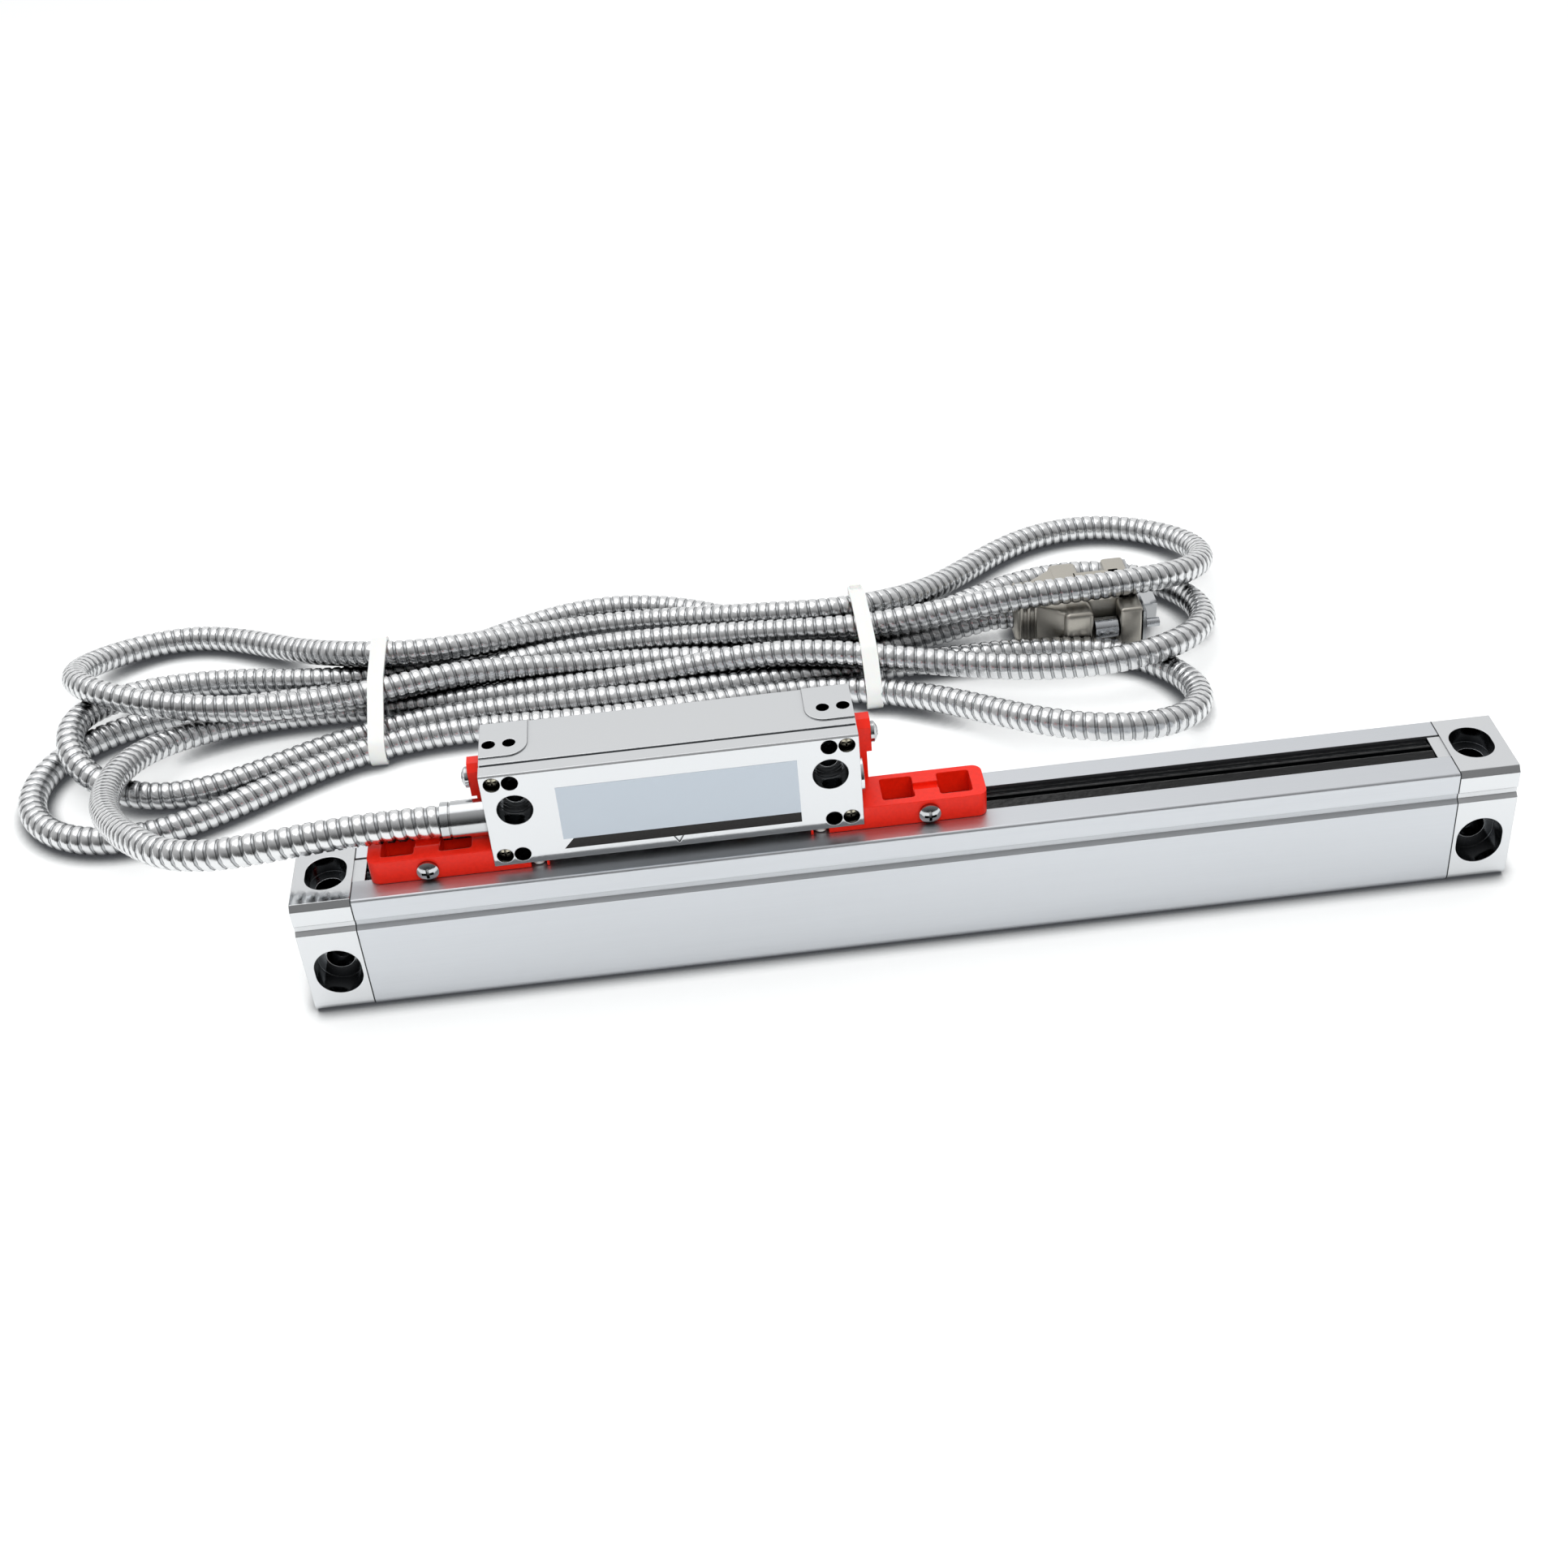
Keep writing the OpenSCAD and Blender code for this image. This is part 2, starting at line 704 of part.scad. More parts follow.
module head_body() {
    color("#E9ECEF") at_head() difference() {
        union() {
            block([-half_l, body_front, head_z], [half_l, head_rear, head_top - mount_pad_h]);
            for (side = [-1, 1]) mirror_x(side)
                translate([half_l, 0, head_top - mount_pad_h - eps]) mount_pad();
        }
        difference() {
            block([-cavity_half, body_front - past, head_z + head_floor],
                  [cavity_half, head_cavity_rear, head_top - head_roof]);
            // Posts that carry the circuit board
            at_board_screws() rod_y(4, signal_board_y + board_t, head_rear);
        }
        at_board_screws() rod_y(board_screw_d, signal_board_y, head_cavity_rear + 0.6);
        // Passage for the blade and the flat lead
        block([-blade_w / 2 - part_play, slot_y - blade_t / 2 - part_play, head_z - past],
              [lead_strip_x + lead_strip_w + part_play, slot_y + blade_t / 2 + part_play,
               head_z + head_floor + past]);
        for (side = [-1, 1]) translate([side * blade_screw[0], blade_screw[1], head_z + 0.6])
            cylinder(d = 2, h = head_floor);
        front_holes();
        at_cover_screws() rod_y(cover_screw_d, body_front - past, head_front + cover_screw_sink + cover_screw_l);
        for (side = [-1, 1]) translate([0, top_hole_y, head_top - m4_depth]) {
            translate([side * m6_x, 0, 0]) cylinder(d = m4_d, h = m4_depth + past);
            translate([side * dowel_x, 0, 0]) cylinder(d = dowel_d, h = m4_depth + past);
        }
        // Seats of the ferrule, the plug and the bracket screws
        outlet_seats(spigot_d);
        for (side = [-1, 1]) mirror_x(side)
            translate([0, arm_y + arm_w / 2, arm_screw_z]) rod_x(m3_d, half_l - arm_screw_grip, half_l + past);
        translate([0, outlet_y, outlet_z - 0.8]) rod_x(wire_d, -half_l + spigot_l - past, -cavity_half + past);
    }
}

module head_gasket() {
    inset = 0.3;
    color("#3A3D40") at_head() difference() {
        block([-half_l + inset, cover_rear, head_z + inset],
              [half_l - inset, body_front, head_top - mount_pad_h - inset]);
        block([-cavity_half, cover_rear - past, head_z + head_floor],
              [cavity_half, body_front + past, head_top - head_roof]);
        front_holes();
        at_cover_screws() rod_y(cover_screw_d + screw_play, head_front, body_front + past);
        outlet_seats(spigot_d + part_play);
    }
}

// Front cover with sunk screws, mounting holes and the index mark
module head_cover() {
    color("#E9ECEF") at_head() difference() {
        along_x(-half_l, half_l) polygon([
            [head_front, head_z + 0.3], [head_front + 0.3, head_z], [cover_rear, head_z],
            [cover_rear, head_top - mount_pad_h - 0.5], [cover_rear - 0.5, head_top - mount_pad_h],
            [head_front + 0.4, head_top - mount_pad_h], [head_front, head_top - mount_pad_h - 0.4]
        ]);
        front_holes();
        at_cover_screws() {
            rod_y(cover_screw_d + screw_play, head_front - past, cover_rear + past);
            rod_y(cover_screw_head + seat_play, head_front - past, head_front + cover_screw_sink);
        }
        outlet_seats(spigot_d + part_play);
        for (side = [-1, 1]) translate([side * pad_x, pad_y, head_z - past])
            cylinder(d = pad_d, h = pad_seat + past);
        // Index mark
        translate([0, head_front + 0.3, head_z + 1.4]) rotate([90, 0, 0]) linear_extrude(past)
            polygon([[-0.2, 0], [0.2, 0], [1.45, 2.2], [1.15, 2.2], [0, 0.3], [-1.15, 2.2], [-1.45, 2.2]]);
    }
}

module cover_screws() {
    color("#B9B393") at_head() at_cover_screws()
        translate([0, head_front + cover_screw_sink, 0]) rotate([90, 0, 0])
            pan_screw(cover_screw_d, cover_screw_l, cover_screw_head, 1.5);
}

module signal_board() {
    y = signal_board_y;
    half = board_screw_x + board_edge;
    chip_t = 1.2;
    color("#2F6B45") at_head() difference() {
        block([-half, y, signal_board_low], [half, y + board_t, signal_board_high]);
        at_board_screws() rod_y(board_screw_d + seat_play, y - past, y + board_t + past);
    }
    // Each chip's start and length as shares of the screws' distance from the middle, and its height
    color("#1C1C1E") at_head() for (chip = [[-0.75, 0.42, 7], [-0.21, 0.33, 8], [0.25, 0.38, 5]])
        translate([chip[0] * board_screw_x, y - chip_t, signal_board_low + chip_rise])
            cube([chip[1] * board_screw_x, chip_t, chip[2]]);
}

module board_screws() {
    color("#C9CCD0") at_head() at_board_screws()
        translate([0, signal_board_y, 0]) rotate([90, 0, 0]) pan_screw(board_screw_d, 3, 3, 1.1);
}

module gap_pads() {
    color("#F2F2EE") at_head() for (side = [-1, 1]) translate([side * pad_x, pad_y, pad_low])
        cylinder(d = pad_d, h = head_z + pad_seat - pad_low);
}

// Foot of a bracket in plan, with its outer corners rounded
module foot_outline() {
    square([foot_l - foot_r, foot_w]);
    translate([0, foot_r]) square([foot_l, foot_w - 2 * foot_r]);
    for (y = [foot_r, foot_w - foot_r]) translate([foot_l - foot_r, y]) circle(r = foot_r);
}

// Window of a foot, with small round corners
module window_outline() {
    r = 0.8;
    translate([r, 0]) square([window_l - 2 * r, window_w]);
    translate([0, r]) square([window_l, window_w - 2 * r]);
    for (x = [r, window_l - r]) for (y = [r, window_w - r]) translate([x, y]) circle(r = r);
}

// Moulded bracket that locks the head to the scale for transport
module transit_bracket(side) {
    slim_t = arm_t - arm_waist;
    pad_slot = pad_d + 1;
    color("#E3200F") at_head_end(side) difference() {
        union() {
            translate([arm_x, foot_front, foot_z]) linear_extrude(foot_h) foot_outline();
            translate([-spacer_l, foot_front, foot_z]) cube([spacer_l + arm_x + eps, foot_w, spacer_t]);
            // Arm, thick round its screw and slender below
            translate([arm_x, arm_y, foot_z]) cube([slim_t, arm_w, arm_waist_z + 1 - foot_z]);
            translate([arm_x, foot_rear - 2, foot_z]) cube([slim_t, arm_w, foot_h]);
            translate([arm_x, 0, 0]) along_x(0, arm_t) polygon([
                [arm_y, arm_waist_z], [arm_y + arm_w, arm_waist_z], [arm_y + arm_w, arm_top],
                [arm_y + 1.6, arm_top], [arm_y, arm_top - 1.8]
            ]);
        }
        for (x = window_x) translate([x, window_y, foot_z - past])
            linear_extrude(foot_h + 2 * past) window_outline();
        // Channel across the bar between the windows
        block([window_x[0] + past, foot_front + 5, foot_top - 1.2],
              [window_x[1] + past, foot_front + 7.8, foot_top + past]);
        translate([foot_screw_x, 0, foot_screw_z])
            rod_y(foot_screw_d, foot_front - past, foot_front + foot_screw_l + 0.5);
        translate([0, arm_y + arm_w / 2, arm_screw_z]) rod_x(m3_d + seat_play, -past, arm_t + past);
        // Notch that keeps clear of the gap pad
        translate([pad_x - half_l, pad_y, foot_z - past]) cylinder(d = pad_slot, h = spacer_t + 2 * past);
        translate([pad_x - half_l - pad_slot / 2, foot_front - past, foot_z - past])
            cube([pad_slot, pad_y - foot_front + past, spacer_t + 2 * past]);
    }
}

module bracket_arm_screws() {
    color("#D9D9D6") for (side = [-1, 1]) at_head_end(side)
        translate([arm_x + arm_t, arm_y + arm_w / 2, arm_screw_z]) rotate([0, 90, 0])
            pan_screw(m3_d, arm_x + arm_t + arm_screw_grip, pan_d, pan_h);
}

module bracket_foot_screws() {
    color("#D9D9D6") for (side = [-1, 1]) at_head_end(side)
        translate([foot_screw_x, foot_front, foot_screw_z]) rotate([90, 0, 0])
            pan_screw(foot_screw_d, foot_screw_l, pan_d, pan_h);
}

module blanking_plug() {
    rim_t = 1;
    color("#E9ECEF") at_head_end(1) translate([0, outlet_y, outlet_z]) difference() {
        union() {
            rod_x(spigot_d, -spigot_l, eps);
            rod_x(ferrule_d, 0, rim_t);
        }
        block([rim_t / 2, -3.4, -0.5], [rim_t + past, 3.4, 0.5]);
    }
}

// Ferrule that clamps the cable's armour to the head
module cable_ferrule() {
    band = [ferrule_l - 2.6, ferrule_l - 2];
    color("#D9DCDF") at_head_end(-1) translate([0, outlet_y, outlet_z]) difference() {
        union() {
            rod_x(spigot_d, -spigot_l, eps);
            rod_x(ferrule_d, 0, band[0]);
            rod_x(ferrule_d - 0.6, band[0] - eps, band[1] + eps);
            rod_x(ferrule_d, band[1], ferrule_l);
        }
        rod_x(wire_d, -spigot_l - past, ferrule_l + past);
    }
}

// Point of a smooth curve through four points, between the second and the third
function on_curve(a, b, c, d, t) =
    0.5 * (2 * b + (c - a) * t + (2 * a - 5 * b + 4 * c - d) * t * t + (3 * b - a - 3 * c + d) * t * t * t);

function lead_curve() = let (n = len(lead_points)) [
    for (i = [0:n - 2]) for (k = [0:lead_steps - 1])
        on_curve(
            lead_points[max(i - 1, 0)], lead_points[i], lead_points[i + 1], lead_points[min(i + 2, n - 1)],
            k / lead_steps
        ),
    lead_points[n - 1]
];

function unit(v) = v / norm(v);

// Direction of the curve at one of its points, square to the faces at both ends
function heading(curve, i) =
    i == 0 ? [-1, 0, 0] : i == len(curve) - 1 ? [0, 1, 0] : unit(curve[i + 1] - curve[i - 1]);

// Tube swept along a curve, with a ring at each point
module swept_tube(curve, d, sides) {
    rings = len(curve);
    points = [
        for (i = [0:rings - 1]) let (
            along = heading(curve, i),
            across = unit(cross([0, 0, 1], along)),
            upward = cross(along, across)
        ) for (k = [0:sides - 1]) let (a = 360 * k / sides)
            curve[i] + d / 2 * (cos(a) * across + sin(a) * upward)
    ];
    skin = [
        for (i = [0:rings - 2]) for (k = [0:sides - 1]) let (n = (k + 1) % sides)
            each [[i * sides + k, i * sides + n, (i + 1) * sides + n],
                  [i * sides + k, (i + 1) * sides + n, (i + 1) * sides + k]]
    ];
    ends = [[for (k = [sides - 1:-1:0]) k], [for (k = [0:sides - 1]) (rings - 1) * sides + k]];
    polyhedron(points = points, faces = concat(skin, ends));
}

module cable_lead() {
    color("#C4C7CA") swept_tube(lead_curve(), hose_d, lead_sides);
}

// Outline of the folds at one end of the hank
module fold_outline(folds) {
    for (fold = folds) translate([fold[0], fold[1]]) circle(r = fold[2]);
}

module hank_outline() {
    lead_end = lead_points[len(lead_points) - 1];
    difference() {
        union() {
            fold_outline(left_folds);
            fold_outline(right_folds);
            polygon([
                [lead_end[0] - hank_flat, lead_end[1]], [lead_end[0] + hank_flat, lead_end[1]],
                [tie_x[0], tie_span[0][0]], [hank_middle[0], hank_middle[1]],
                [tie_x[1], tie_span[1][0]], [right_folds[0][0], right_folds[0][1] - right_folds[0][2]],
                [right_folds[2][0], right_folds[2][1] + right_folds[2][2]], [tie_x[1], tie_span[1][1]],
                [hank_middle[0], hank_middle[2]], [tie_x[0], tie_span[0][1]],
                [left_folds[2][0], left_folds[2][1] + left_folds[2][2]]
            ]);
        }
        // Room for the connector, whose hood meets the cable at its narrow end
        translate([hood_x, hood_y - hood_w / 2 - hood_play])
            square([hood_l + shell_l + 6, hood_w + 2 * hood_play]);
        // Notches for the ties
        for (k = [0, 1]) translate([tie_x[k] - tie_w / 2, 0]) {
            square([tie_w, tie_span[k][0] + tie_t]);
            translate([0, tie_span[k][1] - tie_t]) square([tie_w, tie_span[k][1]]);
        }
    }
}

// Solid of the folded cable: a low bundle with higher folds at both ends
module cable_hank() {
    color("#C4C7CA") difference() {
        union() {
            linear_extrude(hank_h) hank_outline();
            linear_extrude(hank_top) intersection() {
                hank_outline();
                union() {
                    fold_outline(left_folds);
                    fold_outline(right_folds);
                }
            }
        }
        for (k = [0, 1]) {
            translate([tie_x[k] - tie_w / 2, 0, -past]) cube([tie_w, hank_middle[2], tie_t + past]);
            translate([tie_x[k] - tie_w / 2, 0, hank_h - tie_t]) cube([tie_w, hank_middle[2], hank_h]);
        }
    }
}

// Nylon band round the bundle, with its square head behind
module cable_tie(k) {
    low = tie_span[k][0];
    high = tie_span[k][1];
    head = [tie_w, 3.4, 6];
    color("#F4F4F0") translate([tie_x[k] - tie_w / 2, 0, 0]) {
        difference() {
            translate([0, low, 0]) cube([tie_w, high - low, hank_h]);
            translate([-past, low + tie_t, tie_t])
                cube([tie_w + 2 * past, high - low - 2 * tie_t, hank_h - 2 * tie_t]);
        }
        // Ratchet head
        translate([0, high - eps, hank_h / 2 - head[2] / 2]) cube(head);
    }
}

// Tapered side view of the hood, from the cable entry to the flange
module hood_outline() {
    nose = 7;
    shoulder = 11;
    translate([0, -nose]) square([shoulder, 2 * nose]);
    polygon([
        [4, -nose], [shoulder, -hood_w / 2], [hood_l, -hood_w / 2],
        [hood_l, hood_w / 2], [shoulder, hood_w / 2], [4, nose]
    ]);
}

module at_connector() {
    translate([hood_x, hood_y, hood_t / 2]) children();
}

module connector_hood() {
    color("#B4B2AC") at_connector() difference() {
        translate([0, 0, -hood_t / 2]) linear_extrude(hood_t) hood_outline();
        for (side = [-1, 1]) translate([0, side * thumb_spacing / 2, 0]) {
            rod_x(thumb_hole_d, 0, hood_l + past);
            translate([knob_x - hood_play, -4, -hood_t]) cube([knob_l + 2 * hood_play, 8, 2 * hood_t]);
        }
        block([hood_l - 8, -8.4, -4.4], [hood_l + 1, 8.4, 4.4]);
    }
}

// Outline of a nine-way connector's mouth
module d_outline(width, height) {
    slant = height * 0.18;
    polygon([
        [-width / 2, height / 2], [width / 2, height / 2],
        [width / 2 - slant, -height / 2], [-width / 2 + slant, -height / 2]
    ]);
}

module connector_shell() {
    mouth_w = 16.4;
    mouth_h = 7.9;
    color("#D9DCDF") at_connector() translate([hood_l, 0, 0]) rotate([90, 0, 90]) difference() {
        union() {
            translate([-hood_w / 2, -6.2]) linear_extrude(flange_t) square([hood_w, 12.4]);
            linear_extrude(shell_l) d_outline(mouth_w, mouth_h);
        }
        translate([0, 0, -1]) linear_extrude(shell_l + 2) d_outline(mouth_w - 0.8, mouth_h - 0.8);
        for (side = [-1, 1]) translate([side * thumb_spacing / 2, 0, -past]) cylinder(d = thumb_hole_d, h = 3);
    }
}

// Black insert with two rows of contact sockets
module connector_insert() {
    pitch = 2.77;
    color("#1C1C1E") at_connector() translate([hood_l - 7, 0, 0]) rotate([90, 0, 90]) difference() {
        linear_extrude(shell_l + 7) d_outline(15.5, 7);
        for (row = [0, 1]) for (i = [0:4 - row])
            translate([(i - 2 + row / 2) * pitch, 1.4 - row * 2.8, shell_l + 2]) cylinder(d = 1.1, h = 6);
    }
}

// Captive screws: a thick thread in front of the flange, a slender shank and a knob in the hood's window
module connector_thumbscrews() {
    color("#C9CCD0") at_connector() for (side = [-1, 1]) translate([0, side * thumb_spacing / 2, 0]) {
        rod_x(thumb_shank_d, knob_x, hood_l + flange_t + thumb_rise + eps);
        rod_x(thumb_thread_d, hood_l + flange_t + thumb_rise, hood_l + flange_t + thumb_reach);
        rod_x(knob_d, knob_x, knob_x + knob_l);
    }
}

housing_profile();
end_cap(-1);  // end_cap_left
end_cap(1);  // end_cap_right
cap_gasket(-1);  // cap_gasket_left
cap_gasket(1);  // cap_gasket_right
cap_screws();
seal_lip(-1);  // seal_lip_front
seal_lip(1);  // seal_lip_rear
glass_scale();
glass_bed();
scanning_carriage();
roller_pins();
edge_roller(-1);  // edge_roller_left
edge_roller(1);  // edge_roller_right
face_roller(-1);  // face_roller_left
face_roller(1);  // face_roller_right
lamp();
index_grating();
photo_detector();
detector_board();
flat_lead();
pressure_spring();
coupling_blade();
blade_screws();
head_body();
head_gasket();
head_cover();
cover_screws();
signal_board();
board_screws();
gap_pads();
transit_bracket(-1);  // transit_bracket_left
transit_bracket(1);  // transit_bracket_right
bracket_arm_screws();
bracket_foot_screws();
blanking_plug();
cable_ferrule();
cable_lead();
cable_hank();
cable_tie(0);  // cable_tie_left
cable_tie(1);  // cable_tie_right
connector_hood();
connector_shell();
connector_insert();
connector_thumbscrews();
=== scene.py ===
"""Dresses the linear encoder: armoured hose, ties, connector hood, blank label, finishes and studio."""

import json
import math

import bmesh
import bpy
import numpy as np
from mathutils import Matrix, Vector


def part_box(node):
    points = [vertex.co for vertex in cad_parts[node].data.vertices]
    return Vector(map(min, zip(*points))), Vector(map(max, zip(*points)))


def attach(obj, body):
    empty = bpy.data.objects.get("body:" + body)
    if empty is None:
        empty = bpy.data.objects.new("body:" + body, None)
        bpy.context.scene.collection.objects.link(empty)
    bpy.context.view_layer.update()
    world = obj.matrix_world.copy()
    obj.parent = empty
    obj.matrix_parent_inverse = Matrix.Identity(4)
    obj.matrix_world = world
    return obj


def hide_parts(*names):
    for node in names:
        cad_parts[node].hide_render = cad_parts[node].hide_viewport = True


bl_info = {
    "name": "Linear encoder dressing",
    "version": (1, 0, 0),
    "blender": (4, 5, 0),
    "location": "View3D > Sidebar > Encoder",
    "description": "Makes the hose, ties, connector hood, label, finishes and studio of a linear encoder",
    "category": "Object",
}

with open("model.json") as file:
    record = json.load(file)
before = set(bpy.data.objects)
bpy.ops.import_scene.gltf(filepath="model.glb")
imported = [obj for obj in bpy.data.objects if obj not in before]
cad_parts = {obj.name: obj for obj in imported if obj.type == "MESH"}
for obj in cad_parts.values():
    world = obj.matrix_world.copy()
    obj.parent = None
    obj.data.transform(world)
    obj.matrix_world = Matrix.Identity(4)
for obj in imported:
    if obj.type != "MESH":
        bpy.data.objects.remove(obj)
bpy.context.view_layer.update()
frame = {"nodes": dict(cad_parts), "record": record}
NODES = frame["nodes"]
MM = 0.001

# Camera that was fitted to the photograph, in millimetres and degrees
CAMERA_TARGET = (-30.07, -12.1, 56.62)
CAMERA_DISTANCE = 502.97
CAMERA_AZIMUTH = -1.94
CAMERA_ELEVATION = 37.12
CAMERA_ROLL = -5.325
CAMERA_LENS = 47.52

# Route of the hose in millimetres: first the free stretch, with the points that the part's source has
LEAD = (
    (-115.4, 0.4, 47.6), (-130, 0.9, 47.4), (-145, 1.2, 46.6), (-160, 1.6, 45), (-174, 3.2, 43.2),
    (-187, 8.5, 41.2), (-198, 20, 38), (-206.5, 34, 32.6), (-213.5, 50, 26.5), (-218, 68, 20),
)
# Places of the two ties and of the bundle's middle along the hank
TIE_LEFT = -146
TIE_RIGHT = 3
MIDDLE = -75
# Runs through the ties: depth and height at the left tie, depth at the middle, depth and height at the right
RUNS = (
    (118.3, 5.4, 119, 106.3, 13.4),
    (135.6, 5.4, 162, 128, 5.4),
    (109.6, 5.4, 109, 110.6, 5.4),
    (101, 5.4, 99, 102, 5.4),
    (127, 5.4, 140, 119.3, 13.4),
    (131.3, 13.4, 151, 127.9, 13.4),
    (114, 13.4, 129, 119.3, 5.4),
)
# Folds: centre, radius, and the heights at five points of the half turn
LEFT_FOLDS = (
    ((-205.5, 114), 31, (6, 9.5, 12.2, 9.5, 6)),
    ((-217.5, 95), 29.5, (4, 4, 4, 4, 4)),
    ((-213, 143), 28, (4, 7, 12.5, 17.5, 18)),
)
RIGHT_FOLDS = (
    ((77, 119), 30, (12, 12, 9, 5, 4)),
    ((70, 80.5), 26, (4, 5, 8.5, 13, 15)),
    ((84, 148), 29.5, (19, 17, 12, 7, 4)),
)
# Settling of the hose: how far it sinks in a step, the shares of a kink and of an overlap that a step takes
# out, and the distance between touching turns as a share of the diameter
SINKING = 0.01
STIFFNESS = 0.45
PUSH = 0.35
SPACING = 1.012
# The connector's hood, which the hose passes over
HOOD_LOW = (50, 110.5, 0)
HOOD_HIGH = (88, 141.5, 15)

# Lamps in metres: place and size of the soft one above and of the one before the object, and where both aim
KEY_PLACE = (-0.35, 0.35, 1.1)
KEY_SIZE = (1.1, 0.9)
FRONT_PLACE = (0.2, -1.0, 1.1)
FRONT_SIZE = (1.3, 0.6)
LAMP_AIM = (-0.03, 0.05, 0.02)
# Direction in which the studio is brightest: behind the object and above it
BRIGHT_SIDE = (0, 0.8, 0.6)


def shorter(values):
    """Turns millimetres to metres."""
    return [value * MM for value in values]


# Properties that a user would change

class EncoderHose(bpy.types.PropertyGroup):
    """Sizes of the armoured hose."""

    diameter: bpy.props.FloatProperty(
        name="Diameter", description="Outer diameter of the armour", default=8.2 * MM,
        min=7.5 * MM, max=8.3 * MM, unit="LENGTH",
    )
    pitch: bpy.props.FloatProperty(
        name="Pitch", description="Distance from one turn of the wound strip to the next", default=3.1 * MM,
        min=2.5 * MM, max=6 * MM, unit="LENGTH",
    )
    groove: bpy.props.FloatProperty(
        name="Groove depth", description="Depth of the grooves as a share of the radius", default=0.11,
        min=0, max=0.3, subtype="FACTOR",
    )


class EncoderTies(bpy.types.PropertyGroup):
    """Sizes of the cable ties."""

    width: bpy.props.FloatProperty(
        name="Width", description="Width of the nylon band", default=4.8 * MM,
        min=2 * MM, max=6 * MM, unit="LENGTH",
    )
    thickness: bpy.props.FloatProperty(
        name="Thickness", description="Thickness of the nylon band", default=1.1 * MM,
        min=0.6 * MM, max=1.6 * MM, unit="LENGTH",
    )


class EncoderFinish(bpy.types.PropertyGroup):
    """Colours of the main finishes."""

    aluminium: bpy.props.StringProperty(
        name="Aluminium", description="Colour of the anodised profile", default="#D2D5D9",
    )
    chrome: bpy.props.StringProperty(
        name="Chrome", description="Colour of the plated castings", default="#D9DBDD",
    )
    bracket: bpy.props.StringProperty(
        name="Brackets", description="Colour of the moulded transit brackets", default="#F4260F",
    )
    rubber: bpy.props.StringProperty(
        name="Lips", description="Colour of the sealing lips", default="#060708",
    )


class EncoderStage(bpy.types.PropertyGroup):
    """Light and floor of the studio."""

    ambient: bpy.props.FloatProperty(
        name="Ambient light", description="Strength of the light from all round", default=1.0,
        min=0, max=3,
    )
    key: bpy.props.FloatProperty(
        name="Key light", description="Power of the soft lamp above", default=3.25,
        min=0, max=60, unit="POWER",
    )
    front: bpy.props.FloatProperty(
        name="Front light", description="Power of the lamp before the object", default=12.025,
        min=0, max=60, unit="POWER",
    )


PROPERTY_GROUPS = {
    "encoder_hose": EncoderHose,
    "encoder_ties": EncoderTies,
    "encoder_finish": EncoderFinish,
    "encoder_stage": EncoderStage,
}


# Materials

def linear(text, alpha=1.0):
    """Turns an sRGB hex colour to a linear one."""
    channels = [int(text[k:k + 2], 16) / 255 for k in (1, 3, 5)]
    return [c / 12.92 if c <= 0.04045 else ((c + 0.055) / 1.055) ** 2.4 for c in channels] + [alpha]


def add(tree, kind, inputs=None, links=None, **settings):
    """Adds a node with its settings, and its input values and links by the inputs' names or numbers."""
    node = tree.nodes.new("ShaderNode" + kind)
    for name, value in settings.items():
        setattr(node, name, value)
    for name, value in (inputs or {}).items():
        node.inputs[name].default_value = value
    for name, source in (links or {}).items():
        tree.links.new(source, node.inputs[name])
    return node


def set_stops(ramp, stops):
    """Gives a colour ramp its stops, each a position and a linear colour."""
    for position, colour in stops[1:-1]:
        ramp.elements.new(position)
    for element, (position, colour) in zip(ramp.elements, stops):
        element.position = position
        element.color = colour


def start_material(name, colour, **inputs):
    """Starts a material: its tree, its main shader and its place on the piece in metres."""
    material = bpy.data.materials.new(name)
    material.use_nodes = True
    material.diffuse_color = linear(colour)
    tree = material.node_tree
    tree.nodes.clear()
    values = {"Base Color": linear(colour)}
    values.update({key.replace("_", " "): value for key, value in inputs.items()})
    surface = add(tree, "BsdfPrincipled", values)
    add(tree, "OutputMaterial", links={"Surface": surface.outputs[0]})
    place = add(tree, "TexCoord").outputs["Object"]
    return material, tree, surface, place


def pattern(tree, place, size_mm, detail=2.0):
    """Noise whose grains have the given size in millimetres along X, Y and Z."""
    scale = add(tree, "Mapping", {"Scale": [1 / (size * MM) for size in size_mm]}, {"Vector": place})
    return add(tree, "TexNoise", {"Scale": 1.0, "Detail": detail}, {"Vector": scale.outputs[0]}).outputs[0]


def roughness_from(tree, surface, source, low, high):
    """Varies the roughness between two values."""
    spread = add(tree, "MapRange", {"From Min": 0.3, "From Max": 0.7, "To Min": low, "To Max": high},
                 {"Value": source})
    tree.links.new(spread.outputs[0], surface.inputs["Roughness"])


def colour_from(tree, surface, source, first, second):
    """Varies the colour between two hex colours."""
    ramp = add(tree, "ValToRGB", links={"Fac": source})
    set_stops(ramp.color_ramp, ((0.35, linear(first)), (0.65, linear(second))))
    tree.links.new(ramp.outputs[0], surface.inputs["Base Color"])


def relief(tree, surface, source, depth_mm, edge_mm=0.0):
    """Raises a pattern by its depth, and rounds sharp edges by a radius where one is given."""
    bump = add(tree, "Bump", {"Strength": 1.0, "Distance": depth_mm * MM}, {"Height": source})
    if edge_mm:
        edge = add(tree, "Bevel", {"Radius": edge_mm * MM}, samples=6)
        tree.links.new(edge.outputs[0], bump.inputs["Normal"])
    tree.links.new(bump.outputs[0], surface.inputs["Normal"])


